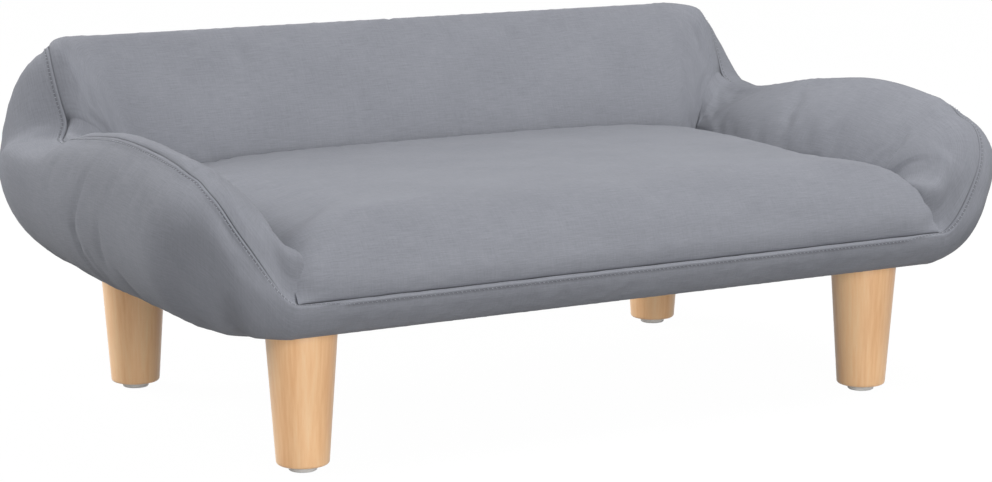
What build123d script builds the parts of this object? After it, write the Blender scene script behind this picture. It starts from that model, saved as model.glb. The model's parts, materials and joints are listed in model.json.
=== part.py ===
"""Small upholstered dog sofa: a padded seat inside a low wall of arms and backrest, on four turned legs.

The wall is drawn as upright sections that fan out from the seat. Each section gives the fabric, and the
same section drawn in by the cloth gives the foam, so cover and core always fit each other.
Frame: +X along the length, the front faces -Y, +Z is up, and the floor under the middle is the origin.
"""
import os
from dataclasses import dataclass
from math import atan2, cos, degrees, hypot, pi, radians, sin, sqrt, tan

from build123d import *

os.makedirs("parts", exist_ok=True)

# Overall sizes
LENGTH = 700.0
DEPTH = 410.0
HEIGHT = 270.0
LEG_HEIGHT = 100.0
ARM_HEIGHT = 223.0
SEAT_HEIGHT = 181.0
FRONT_SEAM_HEIGHT = 126.0

# Plan of the widest line round the body
BACK_CORNER_RADIUS = 95.0
FRONT_CORNER_RADIUS = 70.0
BACK_HEADING = 90.0
SIDE_HEADING = 180.0
FRONT_HEADING = 270.0
PARALLEL = 1e-9

# Width of the wall in plan, from the seat's edge to the widest line
ARM_WIDTH_BACK = 105.0
ARM_WIDTH_FRONT = 87.0
BACKREST_WIDTH = 103.0
CREASE_RADIUS = 2.5

# Cloth, foam and the gaps between them
FABRIC = 1.6
DUST_CLOTH = 0.8
SOFT_GAP = 0.3
HEM = 28.0
TUCK_DEPTH = 34.0
HEEL_TUCK = 8.0

# Wall padding, and the flats that each of its rounds is built from
BELLY_CHORDS = 5
SHOULDER_CHORDS = 4
CROWN_CHORDS = 3
CROWN_RADIUS_BACK = 20.0
CROWN_RADIUS_ARM = 18.0
CROWN_RADIUS_FRONT = 13.0

# Seat cushion
SEAT_EDGE_RADIUS = 12.0
SEAT_BACK_DROP = 6.0
SEAT_SIDE_DROP = 14.0
SEAT_SKIRT_SETBACK = 55.0
ROLL_TURN = 100.0
TOP_CHORDS = 4
ROLL_CHORDS = 7

# Plywood
BOARD_THICKNESS = 15.0
PANEL_THICKNESS = 9.0
BOARD_SETBACK = 31.0
BOARD_CORNER_RADIUS = 30.0
SIDE_PANEL_LEAN = 22.0
SIDE_PANEL_CLEARANCE = 4.5
SIDE_PANEL_FRONT_GAP = 17.0
SIDE_PANEL_REAR_GAP = 25.0
SIDE_PANEL_RISE_SHARE = 0.66
SIDE_PANEL_REAR_DIP_SHARE = 0.29
SIDE_PANEL_FRONT_DIP_SHARE = 0.107
BACK_PANEL_COVER = 21.0
BACK_PANEL_END_GAP = 26.0
BACK_PANEL_SHOULDER_RUN = 36.0
BACK_PANEL_SHOULDER_DROP = 60.0
BACK_PANEL_CORNER_RADIUS = 18.0

# Glue blocks
BLOCK_SIDE = 25.0
BLOCK_LENGTH = 44.0
BLOCK_BEVEL = 8.0
SIDE_BLOCK_SHARES = (-0.41, 0.44)
BACK_BLOCK_SHARES = (-0.63, 0.0, 0.63)

# Legs
LEG_SETBACK = 29.0
LEG_TOP_DIAMETER = 50.0
LEG_BOTTOM_DIAMETER = 37.0
LEG_TOP_BEVEL = 1.0
LEG_BOTTOM_BEVEL = 2.2

# Glides under the legs, each with its nail
GLIDE_DIAMETER = 20.0
GLIDE_HEIGHT = 4.6
GLIDE_BEVEL = 1.4
NAIL_DIAMETER = 2.2
NAIL_LENGTH = 14.0
NAIL_FIT = 0.1

# Hanger bolts and tee nuts
BOLT_DIAMETER = 8.0
BOLT_LENGTH = 46.0
NUT_BARREL = 10.0
NUT_BARREL_LENGTH = 9.0
NUT_FLANGE = 22.0
NUT_FLANGE_THICKNESS = 1.6
BOLT_FIT = 0.25
CUT_OVERRUN = 5.0

# Heights and rises that follow from the sizes above
UNDERSIDE_Z = LEG_HEIGHT
HEM_Z = UNDERSIDE_Z + DUST_CLOTH
BOARD_Z = HEM_Z + FABRIC
BOARD_TOP_Z = BOARD_Z + BOARD_THICKNESS
FOAM_INSET = FABRIC + SOFT_GAP
TUCK_Z = SEAT_HEIGHT - TUCK_DEPTH
HALF_LENGTH = LENGTH / 2
HALF_DEPTH = DEPTH / 2
SEAT_HALF_WIDTH_BACK = HALF_LENGTH - ARM_WIDTH_BACK
SEAT_HALF_WIDTH_FRONT = HALF_LENGTH - ARM_WIDTH_FRONT
SEAT_BACK_Y = HALF_DEPTH - BACKREST_WIDTH
SEAT_FRONT_TURN_Y = FRONT_CORNER_RADIUS - HALF_DEPTH
SEAT_TAPER = degrees(atan2(SEAT_HALF_WIDTH_FRONT - SEAT_HALF_WIDTH_BACK, SEAT_BACK_Y - SEAT_FRONT_TURN_Y))
BACK_PIVOT = (-SEAT_HALF_WIDTH_BACK, SEAT_BACK_Y)
FRONT_PIVOT = (-SEAT_HALF_WIDTH_FRONT, SEAT_FRONT_TURN_Y)


@dataclass(frozen=True)
class Station:
    """A place along the wall and the shape of its section, as shares of the sizes there.

    rise is of the full height of that stretch, drop is the seam's fall from the crest towards the
    front seam, bulge is the widest point's height below the seam, crest and seam are distances out
    from the seat, and flare is how far the foot stands in. The last four are shares of the reach.
    """

    pivot: tuple
    heading: float
    top: float
    rise_share: float
    drop_share: float
    bulge_share: float
    crest_share: float
    seam_share: float
    flare_share: float
    crown_radius: float


def between(share):
    """A plan point on the seat's left edge, from the back corner to the front corner."""
    return tuple(b + (f - b) * share for b, f in zip(BACK_PIVOT, FRONT_PIVOT))


# Shares of one half of the wall, from the middle of the backrest round to the front seam
BACK_SHARES = (1.0, 0.034, 0.58, 0.68, 0.76, 0.21)
BACK_CORNER_SHARES = (
    (110.0, 0.99, 0.056, 0.60, 0.79, 0.88, 0.27),
    (128.0, 0.965, 0.035, 0.76, 0.71, 0.79, 0.44),
    (146.0, 0.765, 0.035, 0.78, 0.51, 0.61, 0.58),
)
ARM_REAR_SHARES = (
    (163.0, 0.86, 0.14, 0.88, 0.63, 0.74, 0.69),
    (SIDE_HEADING, 0.83, 0.05, 0.86, 0.67, 0.78, 0.68),
)
ARM_SHARES = (
    (1 / 3, 0.93, 0.03, 0.70, 0.65, 0.73, 0.69),
    (2 / 3, 1.0, 0.03, 0.64, 0.65, 0.72, 0.71),
    (1.0, 0.95, 0.035, 0.66, 0.60, 0.69, 0.73),
)
ARM_FRONT_SHARES = (
    (200.0, 0.90, 0.05, 0.69, 0.56, 0.69, 0.68),
    (219.0, 0.85, 0.085, 0.71, 0.63, 0.81, 0.62),
    (237.0, 0.785, 0.33, 0.70, 0.71, 0.93, 0.58),
    (253.0, 0.635, 0.66, 0.74, 0.73, 0.945, 0.48),
    (FRONT_HEADING - SEAT_TAPER, 0.50, 1.0, 0.76, 0.68, 0.935, 0.34),
)
BACK_STRAIGHT_SHARES = (0.0, 0.6, 1.0)
# Shares of the seat's half width, each with its share of the side drop
SEAT_SHARES = ((0.0, 0.0), (0.5, 0.07), (0.8, 0.26), (0.93, 0.52), (1.0, 1.0))
HEEL_SHARE = 0.54
HEEL_BACK_SHARE = 0.40

BACK_STATIONS = [
    Station((BACK_PIVOT[0] * share, SEAT_BACK_Y), BACK_HEADING, HEIGHT, *BACK_SHARES, CROWN_RADIUS_BACK)
    for share in BACK_STRAIGHT_SHARES
]
CORNER_STATIONS = [
    Station(BACK_PIVOT, heading, HEIGHT, *shares, CROWN_RADIUS_BACK)
    for heading, *shares in BACK_CORNER_SHARES
]
ARM_STATIONS = (
    [
        Station(BACK_PIVOT, heading, ARM_HEIGHT, *shares, CROWN_RADIUS_ARM)
        for heading, *shares in ARM_REAR_SHARES
    ]
    + [
        Station(between(along), SIDE_HEADING, ARM_HEIGHT, *shares, CROWN_RADIUS_ARM)
        for along, *shares in ARM_SHARES
    ]
    + [
        Station(FRONT_PIVOT, heading, ARM_HEIGHT, *shares, CROWN_RADIUS_FRONT)
        for heading, *shares in ARM_FRONT_SHARES
    ]
)
FRONT_STATION = ARM_STATIONS[-1]


def reach(pivot, heading):
    """Distance from a pivot to the widest line of the body, along a heading on the left half."""
    out_x = cos(radians(heading))
    out_y = sin(radians(heading))
    side_y = HALF_DEPTH if out_y > 0 else -HALF_DEPTH
    to_end = (-HALF_LENGTH - pivot[0]) / out_x if out_x < -PARALLEL else LENGTH
    to_side = (side_y - pivot[1]) / out_y if abs(out_y) > PARALLEL else LENGTH
    distance = min(to_end, to_side)
    hit_x = pivot[0] + distance * out_x
    hit_y = pivot[1] + distance * out_y
    radius = BACK_CORNER_RADIUS if hit_y > 0 else FRONT_CORNER_RADIUS
    centre_x = -(HALF_LENGTH - radius)
    centre_y = (HALF_DEPTH - radius) * (1 if hit_y > 0 else -1)
    if hit_x < centre_x and abs(hit_y) > abs(centre_y):
        from_x = pivot[0] - centre_x
        from_y = pivot[1] - centre_y
        along = from_x * out_x + from_y * out_y
        distance = -along + sqrt(along**2 - from_x**2 - from_y**2 + radius**2)
    return distance


@dataclass(frozen=True)
class WallSection:
    """Control points of one section: distance out from the seat, and height."""

    foot: tuple
    bulge: tuple
    seam: tuple
    crest: tuple
    heel: tuple
    tuck_z: float
    crown_radius: float

    def crown_end(self):
        """Where the rounded crown runs into the straight inner face."""
        centre = (self.crest[0], self.crest[1] - self.crown_radius)
        run = (centre[0] - self.heel[0], centre[1] - self.heel[1])
        span = hypot(*run)
        length = sqrt(span**2 - self.crown_radius**2)
        angle = atan2(run[1], run[0]) + atan2(self.crown_radius, length)
        return (self.heel[0] + length * cos(angle), self.heel[1] + length * sin(angle))


def wall_section(station, inset=0.0):
    """The section at a station, drawn in by an inset all round."""
    full = reach(station.pivot, station.heading)
    crest_z = UNDERSIDE_Z + station.rise_share * (station.top - UNDERSIDE_Z)
    seam_z = crest_z - station.drop_share * (crest_z - FRONT_SEAM_HEIGHT)
    bulge_z = UNDERSIDE_Z + station.bulge_share * (seam_z - UNDERSIDE_Z)
    heel_share = HEEL_SHARE if station.top < HEIGHT else HEEL_BACK_SHARE
    heel_z = UNDERSIDE_Z + heel_share * (crest_z - UNDERSIDE_Z)
    crest_r = station.crest_share * full
    seam_r = station.seam_share * full
    # The belly is an arc that leaves the bulge upright, and turns no further than level at the foot
    drop = bulge_z - HEM_Z
    flare = min(station.flare_share * full, drop)
    belly_radius = (flare**2 + drop**2) / (2 * flare)
    foot_rise = (drop - inset) / (belly_radius - inset)
    foot_r = full - belly_radius + (belly_radius - inset) * sqrt(max(1 - foot_rise**2, 0))
    # The seam moves in square to the line from crest to bulge
    slope = atan2(crest_z - bulge_z, full - crest_r)
    return WallSection(
        foot=(foot_r, HEM_Z + inset),
        bulge=(full - inset, bulge_z),
        seam=(seam_r - inset * sin(slope), seam_z - inset * cos(slope)),
        crest=(crest_r, crest_z - inset),
        heel=(CREASE_RADIUS + inset, heel_z),
        tuck_z=min(TUCK_Z, heel_z - HEEL_TUCK),
        crown_radius=station.crown_radius - inset,
    )


def arc_points(start, end, tangent, chords):
    """Points along the arc that leaves start along a tangent and ends at end, in even chords."""
    run = (end[0] - start[0], end[1] - start[1])
    turn = 2 * (atan2(run[1], run[0]) - atan2(tangent[1], tangent[0]))
    turn = (turn + pi) % (2 * pi) - pi
    radius = hypot(*run) / (2 * sin(turn / 2))
    centre = (start[0] - tangent[1] * radius, start[1] + tangent[0] * radius)
    first = atan2(start[1] - centre[1], start[0] - centre[0])
    size = abs(radius)
    angles = [first + turn * step / chords for step in range(chords + 1)]
    return [(centre[0] + size * cos(angle), centre[1] + size * sin(angle)) for angle in angles]


def outer_points(section):
    """Foot, belly and shoulder of a section, up to the seam."""
    belly = arc_points(section.bulge, section.foot, (0, -1), BELLY_CHORDS)
    shoulder = arc_points(section.bulge, section.seam, (0, 1), SHOULDER_CHORDS)
    return belly[::-1] + shoulder[1:]


def inner_points(section, bottom_z):
    """Crown and inner face of a section, from the seam down behind the seat."""
    front = arc_points(section.crest, section.seam, (1, 0), CROWN_CHORDS)
    back = arc_points(section.crest, section.crown_end(), (-1, 0), CROWN_CHORDS)
    return front[::-1] + back[1:] + [section.heel, (section.heel[0], bottom_z)]


def outer_panel(station):
    """Loop of the outside cloth at a station, with its hem turned in under the board."""
    face = wall_section(station)
    back = wall_section(station, FABRIC)
    hem_end = max(back.foot[0] - HEM, CREASE_RADIUS)
    return outer_points(face) + outer_points(back)[::-1] + [(hem_end, back.foot[1]), (hem_end, face.foot[1])]


def inner_panel(station):
    """Loop of the inside cloth at a station, over the crown and down behind the seat."""
    face = wall_section(station)
    back = wall_section(station, FABRIC)
    return inner_points(face, face.tuck_z) + inner_points(back, back.tuck_z)[::-1]


def wall_foam(station):
    """Loop of the wall's foam at a station."""
    core = wall_section(station, FOAM_INSET)
    return outer_points(core) + inner_points(core, core.foot[1])[1:]


def wall_loop(shape, station, side=1):
    """A section loop in its place round the wall; side -1 is its mirror image on the right half."""
    plane = Plane(
        origin=(station.pivot[0] * side, station.pivot[1], 0),
        x_dir=(cos(radians(station.heading)) * side, sin(radians(station.heading)), 0),
        z_dir=(sin(radians(station.heading)), -cos(radians(station.heading)) * side, 0),
    )
    return [plane.from_local_coords(Vector(out, up)) for out, up in shape(station)]


def left_loops(shape, stations):
    """The loops of a stretch on the left half."""
    return [wall_loop(shape, station) for station in stations]


def whole_loops(shape, stations):
    """The loops from the last station on the left, over the middle, to the right."""
    return left_loops(shape, stations[:0:-1]) + [wall_loop(shape, station, -1) for station in stations]


def quilt(loops):
    """A padded solid through closed loops of matching points, with each patch folded to its middle."""
    faces = [Face(Wire.make_polygon(loops[0])), Face(Wire.make_polygon(loops[-1]))]
    for near, far in zip(loops, loops[1:]):
        for this in range(len(near)):
            corners = [near[this - 1], near[this], far[this], far[this - 1]]
            middle = sum(corners, Vector()) / len(corners)
            for start, end in zip(corners, corners[1:] + corners[:1]):
                faces.append(Face(Wire.make_polygon([start, end, middle])))
    return Solid(Shell(faces))


def export(builder, name):
    """Label a finished piece and write its file."""
    builder.part.label = name
    export_step(builder.part, f"parts/{name}.step")


def export_pair(builder, name):
    """Write a piece of the left half and its mirror image on the right."""
    export(builder, f"{name}_left")
    with BuildPart() as twin:
        mirror(builder.part, about=Plane.YZ)
    export(twin, f"{name}_right")


def seat_half_width(y):
    """Half width of the seat at a depth, between the arms."""
    return SEAT_HALF_WIDTH_BACK + (SEAT_BACK_Y - y) * tan(radians(SEAT_TAPER))


def seat_loop(points, share, gap):
    """A front-to-back profile of depths and heights, placed at a share of the seat's half width."""
    return [Vector(share * (seat_half_width(y) - gap), y, z) for y, z in points]


def seat_profile(drop, inset):
    """Top of the seat from its back edge over the front roll to the seam, lowered and drawn in."""
    seam, core_seam = front_profile([wall_section(FRONT_STATION, draw_in).seam for draw_in in (0, inset)])
    top = SEAT_HEIGHT - drop
    roll_start_y = seam[0] + (top - FRONT_SEAM_HEIGHT) / tan(radians(ROLL_TURN / 2))
    edge = SEAT_EDGE_RADIUS - inset
    back_y = SEAT_BACK_Y - inset
    back_top = top - SEAT_BACK_DROP - inset
    corner = (back_y - edge, back_top)
    rise = arc_points(corner, (back_y, back_top - edge), (1, 0), CROWN_CHORDS)
    crown = arc_points((roll_start_y, top - inset), corner, (1, 0), TOP_CHORDS)
    roll = arc_points((roll_start_y, top - inset), core_seam, (-1, 0), ROLL_CHORDS)
    return rise[::-1] + crown[::-1][1:] + roll[1:]


def seat_block(inset, bottom):
    """The seat's padded shape, drawn in by an inset, closed by the points of its bottom."""
    shares = [(-share, drop_share) for share, drop_share in SEAT_SHARES[:0:-1]] + list(SEAT_SHARES)
    loops = []
    for share, drop_share in shares:
        profile = seat_profile(SEAT_SIDE_DROP * drop_share, inset) + bottom
        loops.append(seat_loop(profile, share, SOFT_GAP + inset))
    return quilt(loops)


def front_profile(points):
    """Points of the last wall section turned to depths and heights of the front."""
    return [(SEAT_FRONT_TURN_Y - out * cos(radians(SEAT_TAPER)), up) for out, up in points]


# Places of the board, panels and legs
lean = radians(SIDE_PANEL_LEAN)
side_panel_front_y = SEAT_FRONT_TURN_Y + SIDE_PANEL_FRONT_GAP
cover_foot_x = seat_half_width(side_panel_front_y) + CREASE_RADIUS + FABRIC
panel_foot_x = cover_foot_x + SIDE_PANEL_CLEARANCE - (TUCK_Z - BOARD_TOP_Z) * tan(lean)
board_half_length = panel_foot_x + PANEL_THICKNESS / cos(lean)
board_half_depth = HALF_DEPTH - BOARD_SETBACK
back_panel_y = board_half_depth - PANEL_THICKNESS
side_panel_rear_y = back_panel_y - SIDE_PANEL_REAR_GAP
side_panel_high_y = between(ARM_SHARES[1][0])[1]
block_top_z = BOARD_TOP_Z + BLOCK_SIDE
leg_x = board_half_length - LEG_SETBACK
leg_y = board_half_depth - LEG_SETBACK
leg_places = [(x, y) for x in (-leg_x, leg_x) for y in (-leg_y, leg_y)]

# How a round part stands on its place or hangs from it
STANDING = (Align.CENTER, Align.CENTER, Align.MIN)
HANGING = (Align.CENTER, Align.CENTER, Align.MAX)

# Plywood base board, bored for the nut barrels
with BuildPart() as board_blank:
    with BuildSketch(Plane.XY.offset(BOARD_Z)):
        RectangleRounded(2 * board_half_length, 2 * board_half_depth, BOARD_CORNER_RADIUS)
    extrude(amount=BOARD_THICKNESS)

with BuildPart() as base_board:
    add(board_blank.part)
    with Locations(*[(x, y, BOARD_TOP_Z) for x, y in leg_places]):
        Hole(NUT_BARREL / 2 + BOLT_FIT)
export(base_board, "base_board")

# Upright plywood back with sloping shoulders
back_panel_half = board_half_length - BACK_PANEL_END_GAP
back_panel_top = HEIGHT - BACK_PANEL_COVER
with BuildPart() as back_panel:
    with BuildSketch(Plane.XZ.offset(-board_half_depth)) as outline:
        with BuildLine():
            Polyline(
                (-back_panel_half, BOARD_TOP_Z),
                (-back_panel_half, back_panel_top - BACK_PANEL_SHOULDER_DROP),
                (BACK_PANEL_SHOULDER_RUN - back_panel_half, back_panel_top),
                (back_panel_half - BACK_PANEL_SHOULDER_RUN, back_panel_top),
                (back_panel_half, back_panel_top - BACK_PANEL_SHOULDER_DROP),
                (back_panel_half, BOARD_TOP_Z),
                close=True,
            )
        make_face()
        fillet(outline.vertices().group_by(Axis.Y)[1:], BACK_PANEL_CORNER_RADIUS)
    extrude(amount=PANEL_THICKNESS)

export(back_panel, "back_panel")

# Leaning plywood sides, lower towards the front and the back like the arms over them
panel_plane = Plane((-board_half_length, 0, BOARD_TOP_Z), x_dir=(0, -1, 0), z_dir=(-cos(lean), 0, -sin(lean)))
panel_rise = SIDE_PANEL_RISE_SHARE * (ARM_HEIGHT - BOARD_TOP_Z) / cos(lean)
with BuildPart() as side_panel:
    with BuildSketch(panel_plane):
        with BuildLine():
            Polyline(
                (-side_panel_front_y, -PANEL_THICKNESS),
                (-side_panel_front_y, panel_rise * (1 - SIDE_PANEL_FRONT_DIP_SHARE)),
                (-side_panel_high_y, panel_rise),
                (-side_panel_rear_y, panel_rise * (1 - SIDE_PANEL_REAR_DIP_SHARE)),
                (-side_panel_rear_y, -PANEL_THICKNESS),
                close=True,
            )
        make_face()
    extrude(amount=-PANEL_THICKNESS)
    split(bisect_by=Plane.XY.offset(BOARD_TOP_Z), keep=Keep.TOP)

export_pair(side_panel, "side_panel")

# Glue blocks along the foot of the sides, leaning with them
with BuildPart() as side_blocks:
    for share in SIDE_BLOCK_SHARES:
        with BuildSketch(Plane.XZ.offset(-share * board_half_depth - BLOCK_LENGTH / 2)):
            with BuildLine():
                Polyline(
                    (-panel_foot_x, BOARD_TOP_Z),
                    (-panel_foot_x - BLOCK_SIDE * tan(lean), block_top_z),
                    (BLOCK_SIDE - BLOCK_BEVEL - panel_foot_x, block_top_z),
                    (BLOCK_SIDE - panel_foot_x, block_top_z - BLOCK_BEVEL),
                    (BLOCK_SIDE - panel_foot_x, BOARD_TOP_Z),
                    close=True,
                )
            make_face()
        extrude(amount=BLOCK_LENGTH)

export_pair(side_blocks, "side_blocks")

# Glue blocks along the foot of the back
with BuildPart() as back_blocks:
    for share in BACK_BLOCK_SHARES:
        with BuildSketch(Plane.YZ.offset(share * board_half_length - BLOCK_LENGTH / 2)):
            with BuildLine():
                Polyline(
                    (back_panel_y, BOARD_TOP_Z),
                    (back_panel_y, block_top_z),
                    (back_panel_y - BLOCK_SIDE + BLOCK_BEVEL, block_top_z),
                    (back_panel_y - BLOCK_SIDE, block_top_z - BLOCK_BEVEL),
                    (back_panel_y - BLOCK_SIDE, BOARD_TOP_Z),
                    close=True,
                )
            make_face()
        extrude(amount=BLOCK_LENGTH)

export(back_blocks, "back_blocks")

# Tee nuts driven into the board from above
with BuildPart() as tee_nuts:
    with Locations(*[(x, y, BOARD_TOP_Z) for x, y in leg_places]):
        Cylinder(NUT_FLANGE / 2, NUT_FLANGE_THICKNESS, align=STANDING)
        Cylinder(NUT_BARREL / 2, NUT_BARREL_LENGTH, align=HANGING)
    with Locations(*[(x, y, BOARD_TOP_Z + NUT_FLANGE_THICKNESS) for x, y in leg_places]):
        Hole(BOLT_DIAMETER / 2 + BOLT_FIT)
export(tee_nuts, "tee_nuts")

# Hanger bolts, flush with the nut flanges and running down into the legs
bolt_top_z = BOARD_TOP_Z + NUT_FLANGE_THICKNESS
with BuildPart() as hanger_bolts:
    with Locations(*[(x, y, bolt_top_z) for x, y in leg_places]):
        Cylinder(BOLT_DIAMETER / 2, BOLT_LENGTH, align=HANGING)
export(hanger_bolts, "hanger_bolts")

# Tapered turned legs, bored for the bolt above and the glide's nail below
bolt_bore_z = bolt_top_z - BOLT_LENGTH - BOLT_FIT
nail_bore_z = GLIDE_HEIGHT + NAIL_LENGTH + NAIL_FIT
for row, y in (("front", -leg_y), ("rear", leg_y)):
    with BuildPart() as legs:
        for x in (-leg_x, leg_x):
            with BuildSketch(Plane.XZ.offset(-y)):
                with BuildLine():
                    Polyline(
                        (x, GLIDE_HEIGHT),
                        (x + LEG_BOTTOM_DIAMETER / 2 - LEG_BOTTOM_BEVEL, GLIDE_HEIGHT),
                        (x + LEG_BOTTOM_DIAMETER / 2, GLIDE_HEIGHT + LEG_BOTTOM_BEVEL),
                        (x + LEG_TOP_DIAMETER / 2, UNDERSIDE_Z - LEG_TOP_BEVEL),
                        (x + LEG_TOP_DIAMETER / 2 - LEG_TOP_BEVEL, UNDERSIDE_Z),
                        (x, UNDERSIDE_Z),
                        close=True,
                    )
                make_face()
            revolve(axis=Axis((x, y, 0), (0, 0, 1)))
        with Locations((-leg_x, y, UNDERSIDE_Z), (leg_x, y, UNDERSIDE_Z)):
            Hole(BOLT_DIAMETER / 2 + BOLT_FIT, depth=UNDERSIDE_Z - bolt_bore_z)
        with Locations((-leg_x, y, nail_bore_z), (leg_x, y, nail_bore_z)):
            Hole(NAIL_DIAMETER / 2 + NAIL_FIT, depth=nail_bore_z - GLIDE_HEIGHT)
    export(legs, f"{row}_legs")

# Plastic glides, each moulded round the nail that holds it
with BuildPart() as leg_glides:
    for x, y in leg_places:
        with BuildSketch(Plane.XZ.offset(-y)):
            with BuildLine():
                Polyline(
                    (x, 0),
                    (x + GLIDE_DIAMETER / 2 - GLIDE_BEVEL, 0),
                    (x + GLIDE_DIAMETER / 2, GLIDE_BEVEL),
                    (x + GLIDE_DIAMETER / 2, GLIDE_HEIGHT),
                    (x + NAIL_DIAMETER / 2, GLIDE_HEIGHT),
                    (x + NAIL_DIAMETER / 2, GLIDE_HEIGHT + NAIL_LENGTH),
                    (x, GLIDE_HEIGHT + NAIL_LENGTH),
                    close=True,
                )
            make_face()
        revolve(axis=Axis((x, y, 0), (0, 0, 1)))
export(leg_glides, "leg_glides")

# Dust cloth under the board and over the hems
with BuildPart() as dust_cover:
    with BuildSketch(Plane.XY.offset(UNDERSIDE_Z)):
        RectangleRounded(2 * board_half_length, 2 * board_half_depth, BOARD_CORNER_RADIUS)
        with Locations(*leg_places):
            Circle(BOLT_DIAMETER / 2 + BOLT_FIT, mode=Mode.SUBTRACT)
    extrude(amount=DUST_CLOTH)
export(dust_cover, "dust_cover")

# Room that the foam leaves for the frame and the nut flanges
with BuildPart() as frame_room:
    with BuildSketch(Plane.XY.offset(BOARD_Z - CUT_OVERRUN)):
        RectangleRounded(2 * board_half_length, 2 * board_half_depth, BOARD_CORNER_RADIUS)
    extrude(amount=BOARD_THICKNESS + CUT_OVERRUN)
    add(back_panel.part)
    add(back_blocks.part)
    for half in (side_panel.part, side_blocks.part):
        add(half)
        mirror(half, about=Plane.YZ)
    with Locations(*[(x, y, BOARD_TOP_Z) for x, y in leg_places]):
        Cylinder(NUT_FLANGE / 2 + SOFT_GAP, NUT_FLANGE_THICKNESS + SOFT_GAP, align=STANDING)

# Wall foam: the backrest runs round to the creases, and an arm follows on each side
BACK_RUN = BACK_STATIONS + CORNER_STATIONS
ARM_RUN = [CORNER_STATIONS[-1]] + ARM_STATIONS
SIDE_RUN = [BACK_STATIONS[-1]] + CORNER_STATIONS + ARM_STATIONS

with BuildPart() as back_foam:
    add(quilt(whole_loops(wall_foam, BACK_RUN)))
    add(frame_room.part, mode=Mode.SUBTRACT)
export(back_foam, "back_foam")

with BuildPart() as arm_foam:
    add(quilt(left_loops(wall_foam, ARM_RUN)))
    add(frame_room.part, mode=Mode.SUBTRACT)
export_pair(arm_foam, "arm_foam")

# Seat foam, which also pads the front edge of the board
band_foam = front_profile(outer_points(wall_section(FRONT_STATION, FOAM_INSET)))
foam_floor = [
    (-board_half_depth, HEM_Z + FOAM_INSET),
    (-board_half_depth, BOARD_TOP_Z),
    (SEAT_BACK_Y - FOAM_INSET, BOARD_TOP_Z),
]
with BuildPart() as seat_foam:
    add(seat_block(FOAM_INSET, band_foam[-2::-1] + foam_floor))
    add(frame_room.part, mode=Mode.SUBTRACT)
export(seat_foam, "seat_foam")

# Outside covers, with their hems under the board
with BuildPart() as outer_back_cover:
    add(quilt(whole_loops(outer_panel, BACK_STATIONS)))
export(outer_back_cover, "outer_back_cover")

with BuildPart() as outer_side_cover:
    add(quilt(left_loops(outer_panel, SIDE_RUN)))
export_pair(outer_side_cover, "outer_side_cover")

with BuildPart() as front_band:
    add(quilt([seat_loop(front_profile(outer_panel(FRONT_STATION)), share, SOFT_GAP) for share in (-1, 1)]))
export(front_band, "front_band")

# Inside covers, tucked down behind the seat
with BuildPart() as inner_back_cover:
    add(quilt(whole_loops(inner_panel, BACK_RUN)))
export(inner_back_cover, "inner_back_cover")

with BuildPart() as arm_cover:
    add(quilt(left_loops(inner_panel, ARM_RUN)))
export_pair(arm_cover, "arm_cover")

# Seat cover, hollow from below, with its skirt tucked down at the sides and the back
skirt_front_y = SEAT_SKIRT_SETBACK - HALF_DEPTH
skirt = [(skirt_front_y, FRONT_SEAM_HEIGHT), (skirt_front_y, TUCK_Z), (SEAT_BACK_Y, TUCK_Z)]
hollow = [
    (skirt_front_y + FABRIC, FRONT_SEAM_HEIGHT - CUT_OVERRUN),
    (skirt_front_y + FABRIC, TUCK_Z - CUT_OVERRUN),
    (SEAT_BACK_Y - FABRIC, TUCK_Z - CUT_OVERRUN),
]
with BuildPart() as seat_cover:
    add(seat_block(0, skirt))
    add(seat_block(FABRIC, hollow), mode=Mode.SUBTRACT)
export(seat_cover, "seat_cover")
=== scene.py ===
"""Small upholstered dog sofa: a padded seat inside a low wall of arms and backrest, on turned legs.

All sizes are in metres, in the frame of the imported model: +X along the length, the front faces -Y, +Z is
up, and the floor under the middle is the origin.
"""
import json
import logging
from dataclasses import asdict, dataclass, replace
from enum import Enum, IntEnum
from math import atan2, cos, degrees, hypot, pi, radians, sin, tan

import bpy
import numpy as np
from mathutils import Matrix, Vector

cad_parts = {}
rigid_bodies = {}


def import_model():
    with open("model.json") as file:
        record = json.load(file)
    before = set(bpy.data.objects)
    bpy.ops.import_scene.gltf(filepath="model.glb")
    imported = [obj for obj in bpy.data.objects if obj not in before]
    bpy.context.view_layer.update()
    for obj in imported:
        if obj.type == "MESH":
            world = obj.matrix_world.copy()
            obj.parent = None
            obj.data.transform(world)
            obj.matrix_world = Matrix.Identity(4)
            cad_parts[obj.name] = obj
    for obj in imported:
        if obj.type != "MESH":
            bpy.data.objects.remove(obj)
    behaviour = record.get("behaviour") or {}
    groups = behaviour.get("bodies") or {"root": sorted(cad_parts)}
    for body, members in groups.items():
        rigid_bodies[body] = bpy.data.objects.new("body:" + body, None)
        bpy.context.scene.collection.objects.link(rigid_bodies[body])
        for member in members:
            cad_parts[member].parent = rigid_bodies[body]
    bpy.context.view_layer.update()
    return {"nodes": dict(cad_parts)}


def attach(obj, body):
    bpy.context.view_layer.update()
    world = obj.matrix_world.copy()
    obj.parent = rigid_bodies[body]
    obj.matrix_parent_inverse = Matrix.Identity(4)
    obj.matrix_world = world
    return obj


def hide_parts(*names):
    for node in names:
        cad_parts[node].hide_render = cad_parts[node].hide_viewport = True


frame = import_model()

ROOT = "root"
MM = 0.001
CLOTH_UV = "cloth"
# Attribute that holds the painted shade of seam grooves, topstitch rows and creases.
SEAM_SHADE = "seam_shade"
WHITE = (1.0, 1.0, 1.0)
NEGLIGIBLE = 1e-9
SAME_HEADING = 1e-6
log = logging.getLogger("dog_sofa")


class Slot(Enum):
    """The record's material slots, handed to dress beside each piece's finish."""

    LINEN = "linen"
    DUST_CLOTH = "dust_cloth"
    LEG_WOOD = "leg_wood"
    ZINC = "zinc"
    GLIDE = "glide"


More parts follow.
